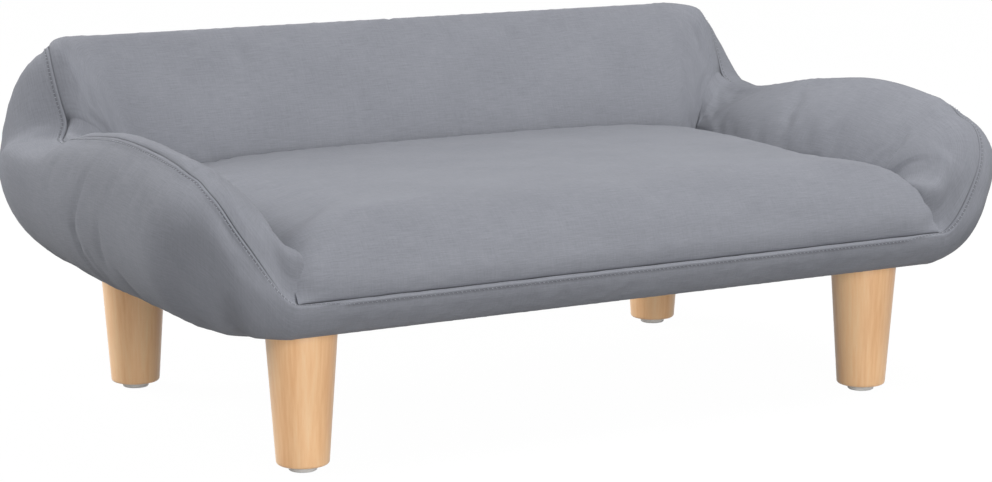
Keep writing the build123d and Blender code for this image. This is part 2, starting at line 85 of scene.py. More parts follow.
class Side(IntEnum):
    """The sofa's ends; the value mirrors the left half, which lies at negative x."""

    LEFT = 1
    RIGHT = -1

    @property
    def label(self) -> str:
        """The side as it stands in a piece's name."""
        return self.name.lower()


# Curves and numbers


def fade(at: np.ndarray, start: float, over: float) -> np.ndarray:
    """Ramp from 0 at a start to 1 a stretch further on, or further back where the stretch is negative."""
    return np.clip((at - start) / over, 0, 1)


def ease(t: np.ndarray) -> np.ndarray:
    """A ramp from 0 to 1 with its ends rounded."""
    return t * t * (3 - 2 * t)


def towards(heading: np.ndarray) -> np.ndarray:
    """Unit vector in plan for a heading in degrees, or a row of them for many headings."""
    angle = np.radians(heading)
    return np.stack([np.cos(angle), np.sin(angle)], axis=-1)


def bell(reach: int, width: float) -> np.ndarray:
    """Weights of a Gaussian blur over so many neighbours on either side, with a sum of 1."""
    kernel = np.exp(-0.5 * (np.arange(-reach, reach + 1) / width) ** 2)
    return kernel / kernel.sum()


def hermite(t: np.ndarray, ends: tuple, slopes: tuple) -> np.ndarray:
    """Cubic between two values with a given slope at either, for t from 0 to 1."""
    places = (1 + 2 * t) * (1 - t) ** 2 * ends[0] + t**2 * (3 - 2 * t) * ends[1]
    return places + t * (1 - t) ** 2 * slopes[0] + t**2 * (t - 1) * slopes[1]


def monotone(knots: np.ndarray, values: np.ndarray, at: np.ndarray, corner: int = 0) -> np.ndarray:
    """Smooth curve through values that never overshoots them.

    Args:
        knots: Places of the values, rising.
        values: The values there.
        at: Places to read the curve at.
        corner: Number of a value where the curve may turn sharply, or 0 for none.

    Returns:
        The curve's values at those places.
    """
    if not corner:
        return _stretch(knots, values, at, None)
    before = at < knots[corner]
    head = _stretch(knots[: corner + 1], values[: corner + 1], at[before], -1)
    return np.concatenate([head, _stretch(knots[corner:], values[corner:], at[~before], 0)])


def _stretch(knots: np.ndarray, values: np.ndarray, at: np.ndarray, sharp: int | None) -> np.ndarray:
    """One smooth stretch of a curve, level at its ends but for a sharp one.

    Args:
        knots: Places of the values, rising.
        values: The values there.
        at: Places to read the curve at.
        sharp: The end that keeps its slope, 0 for the first or -1 for the last, or None.

    Returns:
        The curve's values at those places.
    """
    gaps = np.diff(knots)
    slopes = np.diff(values) / gaps
    tangents = np.zeros(len(knots))
    if sharp is not None:
        tangents[sharp] = slopes[sharp]
    for k in range(1, len(slopes)):
        before, after = slopes[k - 1], slopes[k]
        if before * after > 0:
            heavy, light = 2 * gaps[k] + gaps[k - 1], gaps[k] + 2 * gaps[k - 1]
            tangents[k] = (heavy + light) / (heavy / before + light / after)
    k = np.clip(np.searchsorted(knots, at, side="right") - 1, 0, len(gaps) - 1)
    t = (at - knots[k]) / gaps[k]
    return hermite(t, (values[k], values[k + 1]), (gaps[k] * tangents[k], gaps[k] * tangents[k + 1]))


def blurred(values: np.ndarray, step: float, sigma: float) -> np.ndarray:
    """Evenly spaced values smoothed along their run, with a mirror line at either end.

    Args:
        values: The values.
        step: Distance between them.
        sigma: How far the smoothing reaches.

    Returns:
        The smoothed values.
    """
    reach = int(3 * sigma / step) + 1
    before = values[reach:0:-1]
    after = values[-2 : -reach - 2 : -1]
    return np.convolve(np.concatenate([before, values, after]), bell(reach, sigma / step), mode="valid")


def arc(start: tuple, end: tuple, tangent: tuple, chords: int) -> np.ndarray:
    """Points along the arc that leaves start along a tangent and ends at end.

    Args:
        start: First point.
        end: Last point.
        tangent: Direction at the first point.
        chords: Number of equal steps.

    Returns:
        The points, one more than the steps.
    """
    run = (end[0] - start[0], end[1] - start[1])
    turn = 2 * (atan2(run[1], run[0]) - atan2(tangent[1], tangent[0]))
    turn = (turn + pi) % (2 * pi) - pi
    radius = hypot(*run) / (2 * sin(turn / 2))
    centre = (start[0] - tangent[1] * radius, start[1] + tangent[0] * radius)
    first = atan2(start[1] - centre[1], start[0] - centre[0])
    angles = first + turn * np.arange(chords + 1) / chords
    return np.array(centre) + abs(radius) * np.column_stack([np.cos(angles), np.sin(angles)])


def swing(start: tuple, end: tuple, leave: tuple, arrive: tuple, chords: int) -> np.ndarray:
    """Points along a smooth curve with a given direction at either end.

    Args:
        start: First point.
        end: Last point.
        leave: Direction at the first point.
        arrive: Direction at the last point.
        chords: Number of steps.

    Returns:
        The points, one more than the steps.
    """
    fullness = 1.1
    pull = fullness * hypot(end[0] - start[0], end[1] - start[1])
    slopes = [pull * np.array(way) / hypot(*way) for way in (leave, arrive)]
    return hermite(np.linspace(0, 1, chords + 1)[:, None], (np.array(start), np.array(end)), slopes)


def lengths(points: np.ndarray) -> np.ndarray:
    """Distance run along a line of points, from its first."""
    return np.concatenate([[0.0], np.cumsum(np.linalg.norm(np.diff(points, axis=0), axis=1))])


def read_line(points: np.ndarray, at: np.ndarray) -> tuple[np.ndarray, np.ndarray]:
    """A line's places and its left-hand normals at distances along it.

    Args:
        points: The line, in two dimensions.
        at: Distances from its first point.

    Returns:
        The places and the unit normals.
    """
    run = lengths(points)
    slopes = np.gradient(points, run, axis=0)
    places, tangents = (
        np.column_stack([np.interp(at, run, row) for row in table.T]) for table in (points, slopes)
    )
    tangents /= np.linalg.norm(tangents, axis=1)[:, None]
    return places, np.column_stack([-tangents[:, 1], tangents[:, 0]])


def value_noise(seed: int, at: np.ndarray, pitch: float) -> np.ndarray:
    """Smooth random values from -1 to 1 along a line.

    Args:
        seed: Seed of the random values.
        at: Places along the line.
        pitch: Distance between independent values.

    Returns:
        The values at those places.
    """
    at = np.asarray(at) / pitch
    first = int(np.floor(at.min())) - 1
    draws = np.random.default_rng(seed).uniform(-1, 1, int(np.ceil(at.max())) - first + 3)
    cell = np.floor(at).astype(int) - first
    t = ease(at - np.floor(at))
    return draws[cell] * (1 - t) + draws[cell + 1] * t


# Meshes


def add_object(name: str, data: bpy.types.ID) -> bpy.types.Object:
    """Stands mesh, curve, lamp or camera data in the scene.

    Args:
        name: The object's name.
        data: Its data.

    Returns:
        The object, at the origin.
    """
    obj = bpy.data.objects.new(name, data)
    bpy.context.scene.collection.objects.link(obj)
    return obj


def solid(name: str, points: list, faces: list, crisp: float) -> bpy.types.Object:
    """A closed piece, shaded smooth.

    Args:
        name: The piece's name.
        points: Its points.
        faces: Its faces, as numbers of points.
        crisp: Angle in degrees past which an edge stays sharp.

    Returns:
        The object, at the origin.
    """
    mesh = bpy.data.meshes.new(name)
    mesh.from_pydata(points, [], faces)
    mesh.polygons.foreach_set("use_smooth", [True] * len(mesh.polygons))
    mesh.set_sharp_from_angle(angle=radians(crisp))
    mesh.update()
    return add_object(name, mesh)


@dataclass
class Lattice:
    """Closed loops of matching points that together skin one solid piece.

    points is (loops, points in a loop, 3), uv is (loops, points, 2), shade is painted shade that darkens the
    cloth in its seam grooves, topstitch rows and creases, and held is 1 where the cloth is sewn or hidden and
    0 where it is free to puff.
    """

    CRISP = 60.0

    points: np.ndarray
    uv: np.ndarray
    shade: np.ndarray
    held: np.ndarray

    @classmethod
    def of(cls, loops: list[tuple]) -> "Lattice":
        """A lattice from loops, each with its points, uv, shade and hold."""
        return cls(*(np.array(part) for part in zip(*loops)))

    def build(self, name: str) -> bpy.types.Object:
        """Makes the piece's mesh object.

        Args:
            name: The piece's name.

        Returns:
            The object, at the origin.
        """
        points, walls, caps = self._skin()
        obj = solid(name, points.tolist(), walls.tolist() + caps.tolist(), self.CRISP)
        mesh = obj.data
        flat_uv = np.vstack([self.uv.reshape(-1, 2), self.uv[0, :1], self.uv[-1, :1]])
        order = np.zeros(len(mesh.loops), np.int32)
        mesh.loops.foreach_get("vertex_index", order)
        layer = mesh.uv_layers.new(name=CLOTH_UV)
        layer.data.foreach_set("uv", flat_uv[order].astype(np.float32).ravel())
        shade = mesh.attributes.new(SEAM_SHADE, "FLOAT", "POINT")
        shade.data.foreach_set("value", np.append(self.shade.ravel(), [0.0, 0.0]).astype(np.float32))
        mesh.update()
        pins = obj.vertex_groups.new(name=Loft.PIN_GROUP)
        levels = np.round(np.append(self.held.ravel(), [1.0, 1.0]), 2)
        for level in np.unique(levels):
            pins.add(np.flatnonzero(levels == level).tolist(), float(level), "REPLACE")
        return obj

    def _skin(self) -> tuple[np.ndarray, np.ndarray, np.ndarray]:
        """The piece's closed skin, facing outwards.

        Returns:
            The points, with the caps' middles last, the quads between loops, and the caps' triangles.
        """
        loops, count = self.points.shape[:2]
        points = np.vstack([self.points.reshape(-1, 3), self.points[0].mean(0), self.points[-1].mean(0)])
        here = np.arange(loops * count).reshape(loops, count)
        after = np.roll(here, -1, axis=1)
        walls = np.stack([here[:-1], here[1:], after[1:], after[:-1]], axis=2).reshape(-1, 4)
        first, last = np.full(count, loops * count), np.full(count, loops * count + 1)
        caps = np.array([[first, here[0], after[0]], [last, after[-1], here[-1]]])
        caps = caps.transpose(2, 0, 1).reshape(-1, 3)
        a, b, c = points[np.vstack([walls[:, :3], walls[:, [0, 2, 3]], caps])].transpose(1, 0, 2)
        if np.sum(a * np.cross(b, c)) < 0:
            walls, caps = walls[:, ::-1], caps[:, ::-1]
        return points, walls, caps


@dataclass(frozen=True)
class Loft:
    """How soft pads swell when their cloth is simulated."""

    PIN_GROUP = "sewn"
    pressure: float = 4.0
    frames: int = 20
    quality: int = 5
    cap: float = 2.2 * MM
    surplus: float = -0.012

    def swell(self, pads: list[bpy.types.Object]) -> None:
        """Puffs the pads with the cloth simulation, held at their seams, and keeps the result.

        Args:
            pads: Closed pads with a group of sewn points.
        """
        for pad in pads:
            cloth = pad.modifiers.new("puff", "CLOTH")
            cloth.settings.use_pressure = True
            cloth.settings.uniform_pressure_force = self.pressure
            cloth.settings.vertex_group_mass = self.PIN_GROUP
            cloth.settings.effector_weights.gravity = 0.0
            cloth.settings.shrink_min = self.surplus
            cloth.settings.quality = self.quality
            cloth.collision_settings.use_collision = False
            cloth.point_cache.frame_start = 1
            cloth.point_cache.frame_end = self.frames
        scene = bpy.context.scene
        for step in range(1, self.frames + 1):
            scene.frame_set(step)
        graph = bpy.context.evaluated_depsgraph_get()
        for pad in pads:
            rest = self._points(pad.data)
            shift = self._points(pad.evaluated_get(graph).data) - rest
            size = np.linalg.norm(shift, axis=1)[:, None]
            shift *= self.cap * np.tanh(size / self.cap) / np.maximum(size, NEGLIGIBLE)
            pad.modifiers.clear()
            pad.data.vertices.foreach_set("co", (rest + shift).astype(np.float32).ravel())
            pad.data.update()
            most = float(np.linalg.norm(shift, axis=1).max())
            log.info("%s swelled by up to %.1f mm", pad.name, most / MM)
        scene.frame_set(1)

    @staticmethod
    def _points(mesh: bpy.types.Mesh) -> np.ndarray:
        """Reads a mesh's points.

        Args:
            mesh: The mesh.

        Returns:
            Its points, one in a row.
        """
        flat = np.zeros(len(mesh.vertices) * 3, np.float32)
        mesh.vertices.foreach_get("co", flat)
        return flat.reshape(-1, 3).astype(float)


def lathe(name: str, profile: list[tuple], centre: tuple, segments: int) -> bpy.types.Object:
    """A solid turned about an upright axis.

    Args:
        name: The piece's name.
        profile: Radius and height from the bottom to the top, both ends on the axis.
        centre: The axis in plan.
        segments: Flats round the axis.

    Returns:
        The object, at the origin.
    """
    crisp = 35.0
    angles = [2 * pi * k / segments for k in range(segments)]
    points = [(*centre, profile[0][1])]
    for radius, height in profile[1:-1]:
        points += [(centre[0] + radius * cos(a), centre[1] + radius * sin(a), height) for a in angles]
    points.append((*centre, profile[-1][1]))
    starts = [1 + r * segments for r in range(len(profile) - 2)]
    faces = []
    for k in range(segments):
        n = (k + 1) % segments
        faces.append((0, 1 + n, 1 + k))
        faces += [(low + k, low + n, high + n, high + k) for low, high in zip(starts, starts[1:])]
        faces.append((starts[-1] + k, starts[-1] + n, len(points) - 1))
    return solid(name, points, faces, crisp)


# Shader expressions


class Socket:
    """A shader value that takes part in sums, so that a finish reads as plain arithmetic."""

    def __init__(self, shop: "NodeShop", socket: bpy.types.NodeSocket) -> None:
        """Keeps the socket and the shop that made it."""
        self.shop = shop
        self.socket = socket

    def also(self, output: str) -> "Socket":
        """Another output of the same node."""
        return Socket(self.shop, self.socket.node.outputs[output])

    def _math(self, operation: str, first: object, second: object) -> "Socket":
        """Adds a Math node on two values or sockets."""
        return self.shop.node("ShaderNodeMath", {"operation": operation}, {0: first, 1: second})

    def __add__(self, other: object) -> "Socket":
        """Sum."""
        return self._math("ADD", self, other)

    __radd__ = __add__

    def __sub__(self, other: object) -> "Socket":
        """Difference."""
        return self._math("SUBTRACT", self, other)

    def __rsub__(self, other: object) -> "Socket":
        """Difference, this one taken away."""
        return self._math("SUBTRACT", other, self)

    def __mul__(self, other: object) -> "Socket":
        """Product."""
        return self._math("MULTIPLY", self, other)

    __rmul__ = __mul__


@dataclass(frozen=True)
class Grain:
    """A noise: its grains in a metre along each axis, how many finer layers it has, and their share."""

    scale: tuple
    layers: float
    share: float


class NodeShop:
    """Builds one shader tree from expressions; the numbers are those of the Mix node's colour sockets."""

    FIRST_COLOUR, SECOND_COLOUR, MIXED_COLOUR = 6, 7, 2

    def __init__(self, tree: bpy.types.NodeTree, output: str) -> None:
        """Empties a tree and gives it its output.

        Args:
            tree: The tree.
            output: Type of the output's node.
        """
        self.tree = tree
        tree.nodes.clear()
        self.output = tree.nodes.new(output)

    def node(self, kind: str, settings: dict, inputs: dict, output: object = 0) -> Socket:
        """Adds a node.

        Args:
            kind: The node's type.
            settings: Its own settings; "stops" are a ramp's places and colours.
            inputs: Values or sockets for its inputs, by name or number.
            output: Name or number of the output that is wanted.

        Returns:
            That output.
        """
        made = self.tree.nodes.new(kind)
        for name, value in settings.items():
            if name == "stops":
                elements = made.color_ramp.elements
                while len(elements) < len(value):
                    elements.new(0.5)
                for element, (place, colour) in zip(elements, value):
                    element.position = place
                    element.color = (*colour, 1.0)
            else:
                setattr(made, name, value)
        for name, value in inputs.items():
            self.feed(made.inputs[name], value)
        return Socket(self, made.outputs[output])

    def feed(self, target: bpy.types.NodeSocket, value: object) -> None:
        """Links a socket to an input, or sets the input to a value.

        Args:
            target: The input.
            value: A socket, a number, a vector or a colour.
        """
        if isinstance(value, Socket):
            self.tree.links.new(value.socket, target)
        elif target.type == "RGBA":
            target.default_value = (*value[:3], 1.0)
        else:
            target.default_value = value

    def mix(self, factor: object, first: object, second: object) -> Socket:
        """Mixes two colours; the factor is the share of the second."""
        inputs = {0: factor, self.FIRST_COLOUR: first, self.SECOND_COLOUR: second}
        return self.node("ShaderNodeMix", {"data_type": "RGBA"}, inputs, self.MIXED_COLOUR)

    def sine(self, angle: Socket) -> Socket:
        """Sine of an angle."""
        return self.node("ShaderNodeMath", {"operation": "SINE"}, {0: angle})

    def noise(self, places: Socket, grain: Grain) -> Socket:
        """Noise in a stretched space.

        Args:
            places: Where the noise is read.
            grain: The noise's grain.

        Returns:
            The noise, from 0 to 1.
        """
        stretched = self.node("ShaderNodeVectorMath", {"operation": "MULTIPLY"}, {0: places, 1: grain.scale})
        inputs = {"Vector": stretched, "Scale": 1.0, "Detail": grain.layers, "Roughness": grain.share}
        return self.node("ShaderNodeTexNoise", {"noise_dimensions": "3D"}, inputs)

    def bump(self, height: Socket, strength: float, distance: float) -> Socket:
        """A normal from a height."""
        inputs = {"Strength": strength, "Distance": distance, "Height": height}
        return self.node("ShaderNodeBump", {}, inputs)

    def seen(self) -> Socket:
        """At least 1 for the camera's rays and for mirrored or passed ones, 0 for those that gather light."""
        rays = self.node("ShaderNodeLightPath", {}, {}, "Is Camera Ray")
        return rays + rays.also("Is Glossy Ray") + rays.also("Is Transmission Ray")

    def show(self, shader: Socket) -> None:
        """Links a shader to the output."""
        self.feed(self.output.inputs[0], shader)


class MaterialShop(NodeShop):
    """Builds one material round a Principled shader."""

    def __init__(self, name: str) -> None:
        """Starts a material with its shader and output.

        Args:
            name: The material's name.
        """
        self.material = bpy.data.materials.new(name)
        self.material.use_nodes = True
        super().__init__(self.material.node_tree, "ShaderNodeOutputMaterial")
        self.shader = self.node("ShaderNodeBsdfPrincipled", {}, {})
        self.show(self.shader)

    def place(self) -> Socket:
        """The place on the piece, in metres."""
        return self.node("ShaderNodeTexCoord", {}, {}, "Object")

    def wear(self, inputs: dict) -> None:
        """Feeds the shader's own inputs, by name."""
        for name, value in inputs.items():
            self.feed(self.shader.socket.node.inputs[name], value)


def linear(red: int, green: int, blue: int) -> tuple[float, float, float]:
    """A screen colour, 0 to 255, as the linear values that a shader takes."""
    shares = [value / 255 for value in (red, green, blue)]
    return tuple(s / 12.92 if s <= 0.04045 else ((s + 0.055) / 1.055) ** 2.4 for s in shares)


class Finish:
    """What all finishes share: a name, and layers that their material wears."""

    name: str

    def build(self) -> bpy.types.Material:
        """Makes the finish's material.

        Returns:
            The material.
        """
        shop = MaterialShop(self.name)
        shop.wear(self.layers(shop))
        return shop.material

    def layers(self, shop: MaterialShop) -> dict:
        """Makes the finish's nodes and returns the shader's inputs; each finish has its own."""
        raise NotImplementedError


@dataclass(frozen=True)
class LinenFinish(Finish):
    """Grey linen-look upholstery cloth with fine slubs along the weft."""

    name: str = "grey_linen"
    light: tuple = linear(140, 142, 149)
    dark: tuple = linear(116, 118, 125)
    # Dark grey that the painted shade of seam grooves, topstitch rows and creases mixes towards.
    seam: tuple = linear(58, 59, 63)
    weft: Grain = Grain((70.0, 1250.0, 1.0), 3.0, 0.6)
    warp: Grain = Grain((1250.0, 70.0, 1.0), 2.0, 0.5)
    fleck: Grain = Grain((520.0, 900.0, 1.0), 2.0, 0.6)
    mottle: Grain = Grain((14.0, 22.0, 1.0), 2.0, 0.5)
    tone_shares: tuple = (1.1, 0.5, 0.5, 0.5)
    relief_shares: tuple = (0.8, 0.4, 0.3)
    weave_share: float = 0.35
    thread_pitch: float = 0.8 * MM
    roughness: float = 0.86
    roughness_gain: float = 0.12
    relief: float = 0.35
    nap: float = 0.25 * MM
    shine: float = 0.12
    sheen: float = 0.06
    sheen_roughness: float = 0.5

    def layers(self, shop: MaterialShop) -> dict:
        """Slubs both ways, flecks and mottling over a fine weave, darkened by painted shade in the seams.

        Args:
            shop: The material's shop.

        Returns:
            The shader's inputs, by name.
        """
        cloth = shop.node("ShaderNodeUVMap", {"uv_map": CLOTH_UV}, {})
        grains = (self.weft, self.warp, self.fleck, self.mottle)
        weft, warp, fleck, mottle = (shop.noise(cloth, grain) for grain in grains)
        tone = 0.5
        for share, layer in zip(self.tone_shares, (weft, warp, fleck, mottle)):
            tone = tone + share * (layer - 0.5)
        # Painted shade: the seam attribute darkens the tone towards the seam grey in grooves, stitch rows and
        # creases.
        shade = shop.node("ShaderNodeAttribute", {"attribute_name": SEAM_SHADE}, {}, "Fac")
        turns = 2 * pi / self.thread_pitch
        columns = shop.node("ShaderNodeSeparateXYZ", {}, {0: cloth}, "X")
        height = self.weave_share * (shop.sine(columns * turns) * shop.sine(columns.also("Y") * turns))
        for share, layer in zip(self.relief_shares, (weft, warp, fleck)):
            height = height + share * layer
        return {
            "Base Color": shop.mix(shade, shop.mix(tone, self.dark, self.light), self.seam),
            "Roughness": self.roughness + self.roughness_gain * (weft - 0.5),
            "Normal": shop.bump(height, self.relief, self.nap),
            "Specular IOR Level": self.shine,
            "Sheen Weight": self.sheen,
            "Sheen Roughness": self.sheen_roughness,
        }


@dataclass(frozen=True)
class SpeckledFinish(Finish):
    """Two close tones in fine specks, with a roughness and a relief that follow them."""

    name: str
    dark: tuple
    light: tuple
    specks: Grain
    roughness: float
    roughness_gain: float
    relief: float
    metallic: float = 0.0
    relief_depth: float = 0.1 * MM

    def layers(self, shop: MaterialShop) -> dict:
        """One noise drives colour, roughness and relief.

        Args:
            shop: The material's shop.

        Returns:
            The shader's inputs, by name.
        """
        speck = shop.noise(shop.place(), self.specks)
        return {
            "Base Color": shop.mix(speck, self.dark, self.light),
            "Metallic": self.metallic,
            "Roughness": self.roughness + self.roughness_gain * speck,
            "Normal": shop.bump(speck, self.relief, self.relief_depth),
        }


@dataclass(frozen=True)
class WoodFinish(Finish):
    """Clear lacquered pale hardwood with its grain running down the leg."""

    name: str = "leg_beech"
    pale: tuple = linear(254, 214, 167)
    mid: tuple = linear(251, 202, 151)
    brown: tuple = linear(240, 184, 131)
    figure: Grain = Grain((55.0, 55.0, 4.0), 3.0, 0.55)
    grain: Grain = Grain((420.0, 420.0, 12.0), 3.0, 0.6)
    pores: Grain = Grain((1500.0, 1500.0, 70.0), 2.0, 0.5)
    figure_share: float = 0.6
    grain_share: float = 0.4
    stops: tuple = (0.34, 0.5, 0.66)
    pores_from: float = 0.62
    pores_full: float = 0.74
    pores_dark: float = 0.35
    pores_relief: float = 0.6
    roughness: float = 0.42
    roughness_gain: float = 0.2
    coat: float = 0.18
    coat_roughness: float = 0.3
    relief: float = 0.12
    relief_depth: float = 0.2 * MM

    def layers(self, shop: MaterialShop) -> dict:
        """Broad figure and fine grain through three tones, with darker pores under a thin coat.

        Args:
            shop: The material's shop.

        Returns:
            The shader's inputs, by name.
        """
        place = shop.place()
        figure, grain, pores = (shop.noise(place, grain) for grain in (self.figure, self.grain, self.pores))
        stops = list(zip(self.stops, (self.brown, self.mid, self.pale)))
        blend = self.figure_share * figure + self.grain_share * grain
        tones = shop.node("ShaderNodeValToRGB", {"stops": stops}, {0: blend})
        limits = (pores, self.pores_from, self.pores_full, 0.0, self.pores_dark)
        dark_pores = shop.node("ShaderNodeMapRange", {}, dict(enumerate(limits)))
        return {
            "Base Color": shop.mix(dark_pores, tones, self.brown),
            "Roughness": self.roughness + self.roughness_gain * (grain - 0.5),
            "Coat Weight": self.coat,
            "Coat Roughness": self.coat_roughness,
            "Normal": shop.bump(grain + self.pores_relief * pores, self.relief, self.relief_depth),
        }


@dataclass(frozen=True)
class PlywoodFinish(Finish):
    """Birch plywood: pale veneer with its layers at the edges."""

    name: str = "birch_plywood"
    pale: tuple = linear(222, 195, 152)
    brown: tuple = linear(176, 138, 92)
    grain: Grain = Grain((18.0, 260.0, 260.0), 3.0, 0.6)
    veneer: float = 1.5 * MM
    grain_share: float = 0.75
    veneer_share: float = 0.12
    roughness: float = 0.62
    roughness_gain: float = 0.15
    relief: float = 0.2
    relief_depth: float = 0.2 * MM

    def layers(self, shop: MaterialShop) -> dict:
        """Long grain, banded by the veneers.

        Args:
            shop: The material's shop.

        Returns:
            The shader's inputs, by name.
        """
        place = shop.place()
        grain = shop.noise(place, self.grain)
        height = shop.node("ShaderNodeSeparateXYZ", {}, {0: place}, "Z")
        bands = shop.sine(height * (pi / self.veneer))
        tone = self.grain_share * grain + self.veneer_share * bands
        return {
            "Base Color": shop.mix(tone, self.brown, self.pale),
            "Roughness": self.roughness + self.roughness_gain * grain,
            "Normal": shop.bump(grain, self.relief, self.relief_depth),
        }


@dataclass(frozen=True)
class DustClothFinish(Finish):
    """Thin black spun cloth with its bonded fibres and embossed points."""

    name: str = "spun_dust_cloth"
    light: tuple = linear(62, 62, 66)
    dark: tuple = linear(30, 30, 33)
    fibre: Grain = Grain((900.0, 300.0, 900.0), 3.0, 0.7)
    cross_fibre: Grain = Grain((260.0, 1000.0, 900.0), 3.0, 0.7)
    points_scale: float = 700.0
    points_relief: float = 0.6
    roughness: float = 0.8
    roughness_gain: float = 0.15
    relief: float = 0.4
    relief_depth: float = 0.15 * MM

    def layers(self, shop: MaterialShop) -> dict:
        """Fibres both ways and points pressed in.

        Args:
            shop: The material's shop.

        Returns:
            The shader's inputs, by name.
        """
        place = shop.place()
        fibre = shop.noise(place, self.fibre)
        cross = shop.noise(place, self.cross_fibre)
        points = shop.node("ShaderNodeTexVoronoi", {}, {"Vector": place, "Scale": self.points_scale})
        tone = 0.5 * fibre + 0.5 * cross
        return {
            "Base Color": shop.mix(tone, self.dark, self.light),
            "Roughness": self.roughness + self.roughness_gain * fibre,
            "Normal": shop.bump(tone + self.points_relief * points, self.relief, self.relief_depth),
        }


@dataclass(frozen=True)
class FloorFinish(Finish):
    """Plain pale studio floor that meets the white backdrop."""

    name: str = "studio_floor"
    colour: tuple = (0.3, 0.3, 0.3)
    roughness: float = 0.9
    lift: float = 0.95
    glow: float = 1.04

    def layers(self, shop: MaterialShop) -> dict:
        """Grey that takes light, lifted towards white where the camera or a reflection sees it.

        Args:
            shop: The material's shop.

        Returns:
            The shader's inputs, by name.
        """
        white = shop.node("ShaderNodeEmission", {}, {"Color": WHITE, "Strength": self.glow})
        factor = shop.seen() * self.lift
        shop.show(shop.node("ShaderNodeMixShader", {}, {0: factor, 1: shop.shader, 2: white}))
        return {"Base Color": self.colour, "Roughness": self.roughness}


class Finishes:
    """Every finish of the sofa, built once."""

    THREAD = SpeckledFinish(
        "grey_thread", linear(120, 123, 131), linear(182, 184, 190),
        specks=Grain((1500.0, 1500.0, 2600.0), 1.0, 0.5), roughness=0.6, roughness_gain=0.2, relief=0.4,
    )
    ZINC = SpeckledFinish(
        "zinc_plate", linear(160, 162, 163), linear(205, 206, 204),
        specks=Grain((420.0, 420.0, 420.0), 3.0, 0.6), roughness=0.28, roughness_gain=0.25, relief=0.1,
        metallic=1.0,
    )
    GLIDE = SpeckledFinish(
        "glide_plastic", linear(205, 205, 202), linear(240, 240, 238),
        specks=Grain((300.0, 300.0, 500.0), 3.0, 0.6), roughness=0.32, roughness_gain=0.3, relief=0.15,
    )

    def __init__(self) -> None:
        """Builds the materials."""
        self.linen = LinenFinish().build()
        self.thread = self.THREAD.build()
        self.wood = WoodFinish().build()
        self.plywood = PlywoodFinish().build()
        self.zinc = self.ZINC.build()
        self.dust_cloth = DustClothFinish().build()
        self.glide = self.GLIDE.build()
        self.floor = FloorFinish().build()


def dress(obj: bpy.types.Object, material: bpy.types.Material, slot: Slot, *nodes: str) -> None:
    """Gives a piece its finish and its body, and hides the CAD nodes that it stands for.

    Args:
        obj: The piece.
        material: Its finish.
        slot: The record's slot for that finish; not used.
        nodes: The CAD nodes that it replaces.
    """
    if not obj.data.materials:
        obj.data.materials.append(material)
    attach(obj, ROOT)
    if nodes:
        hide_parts(*nodes)
    log.info("%s: %d faces", obj.name, len(obj.data.polygons))


# The wall of arms and backrest


@dataclass(frozen=True)
class Hold:
    """How far from a panel's seam and from its other end the cloth is held, and how softly that ends."""

    seam: float
    seam_over: float
    end: float
    end_over: float

    def held(self, at: np.ndarray, end: float, hidden: int, freedom: float = 1.0) -> np.ndarray:
        """How firmly a column's rows are held.

        Args:
            at: The rows' distances from the sewn line.
            end: Distance of the other end.
            hidden: Number of rows behind the face, which are fully held.
            freedom: Share by which the free rows are let go.

        Returns:
            0 where the cloth is free to puff, up to 1.
        """
        free = fade(at, self.seam, self.seam_over) * fade(at, end - self.end, -self.end_over)
        return np.concatenate([1 - free * freedom, np.ones(hidden)])


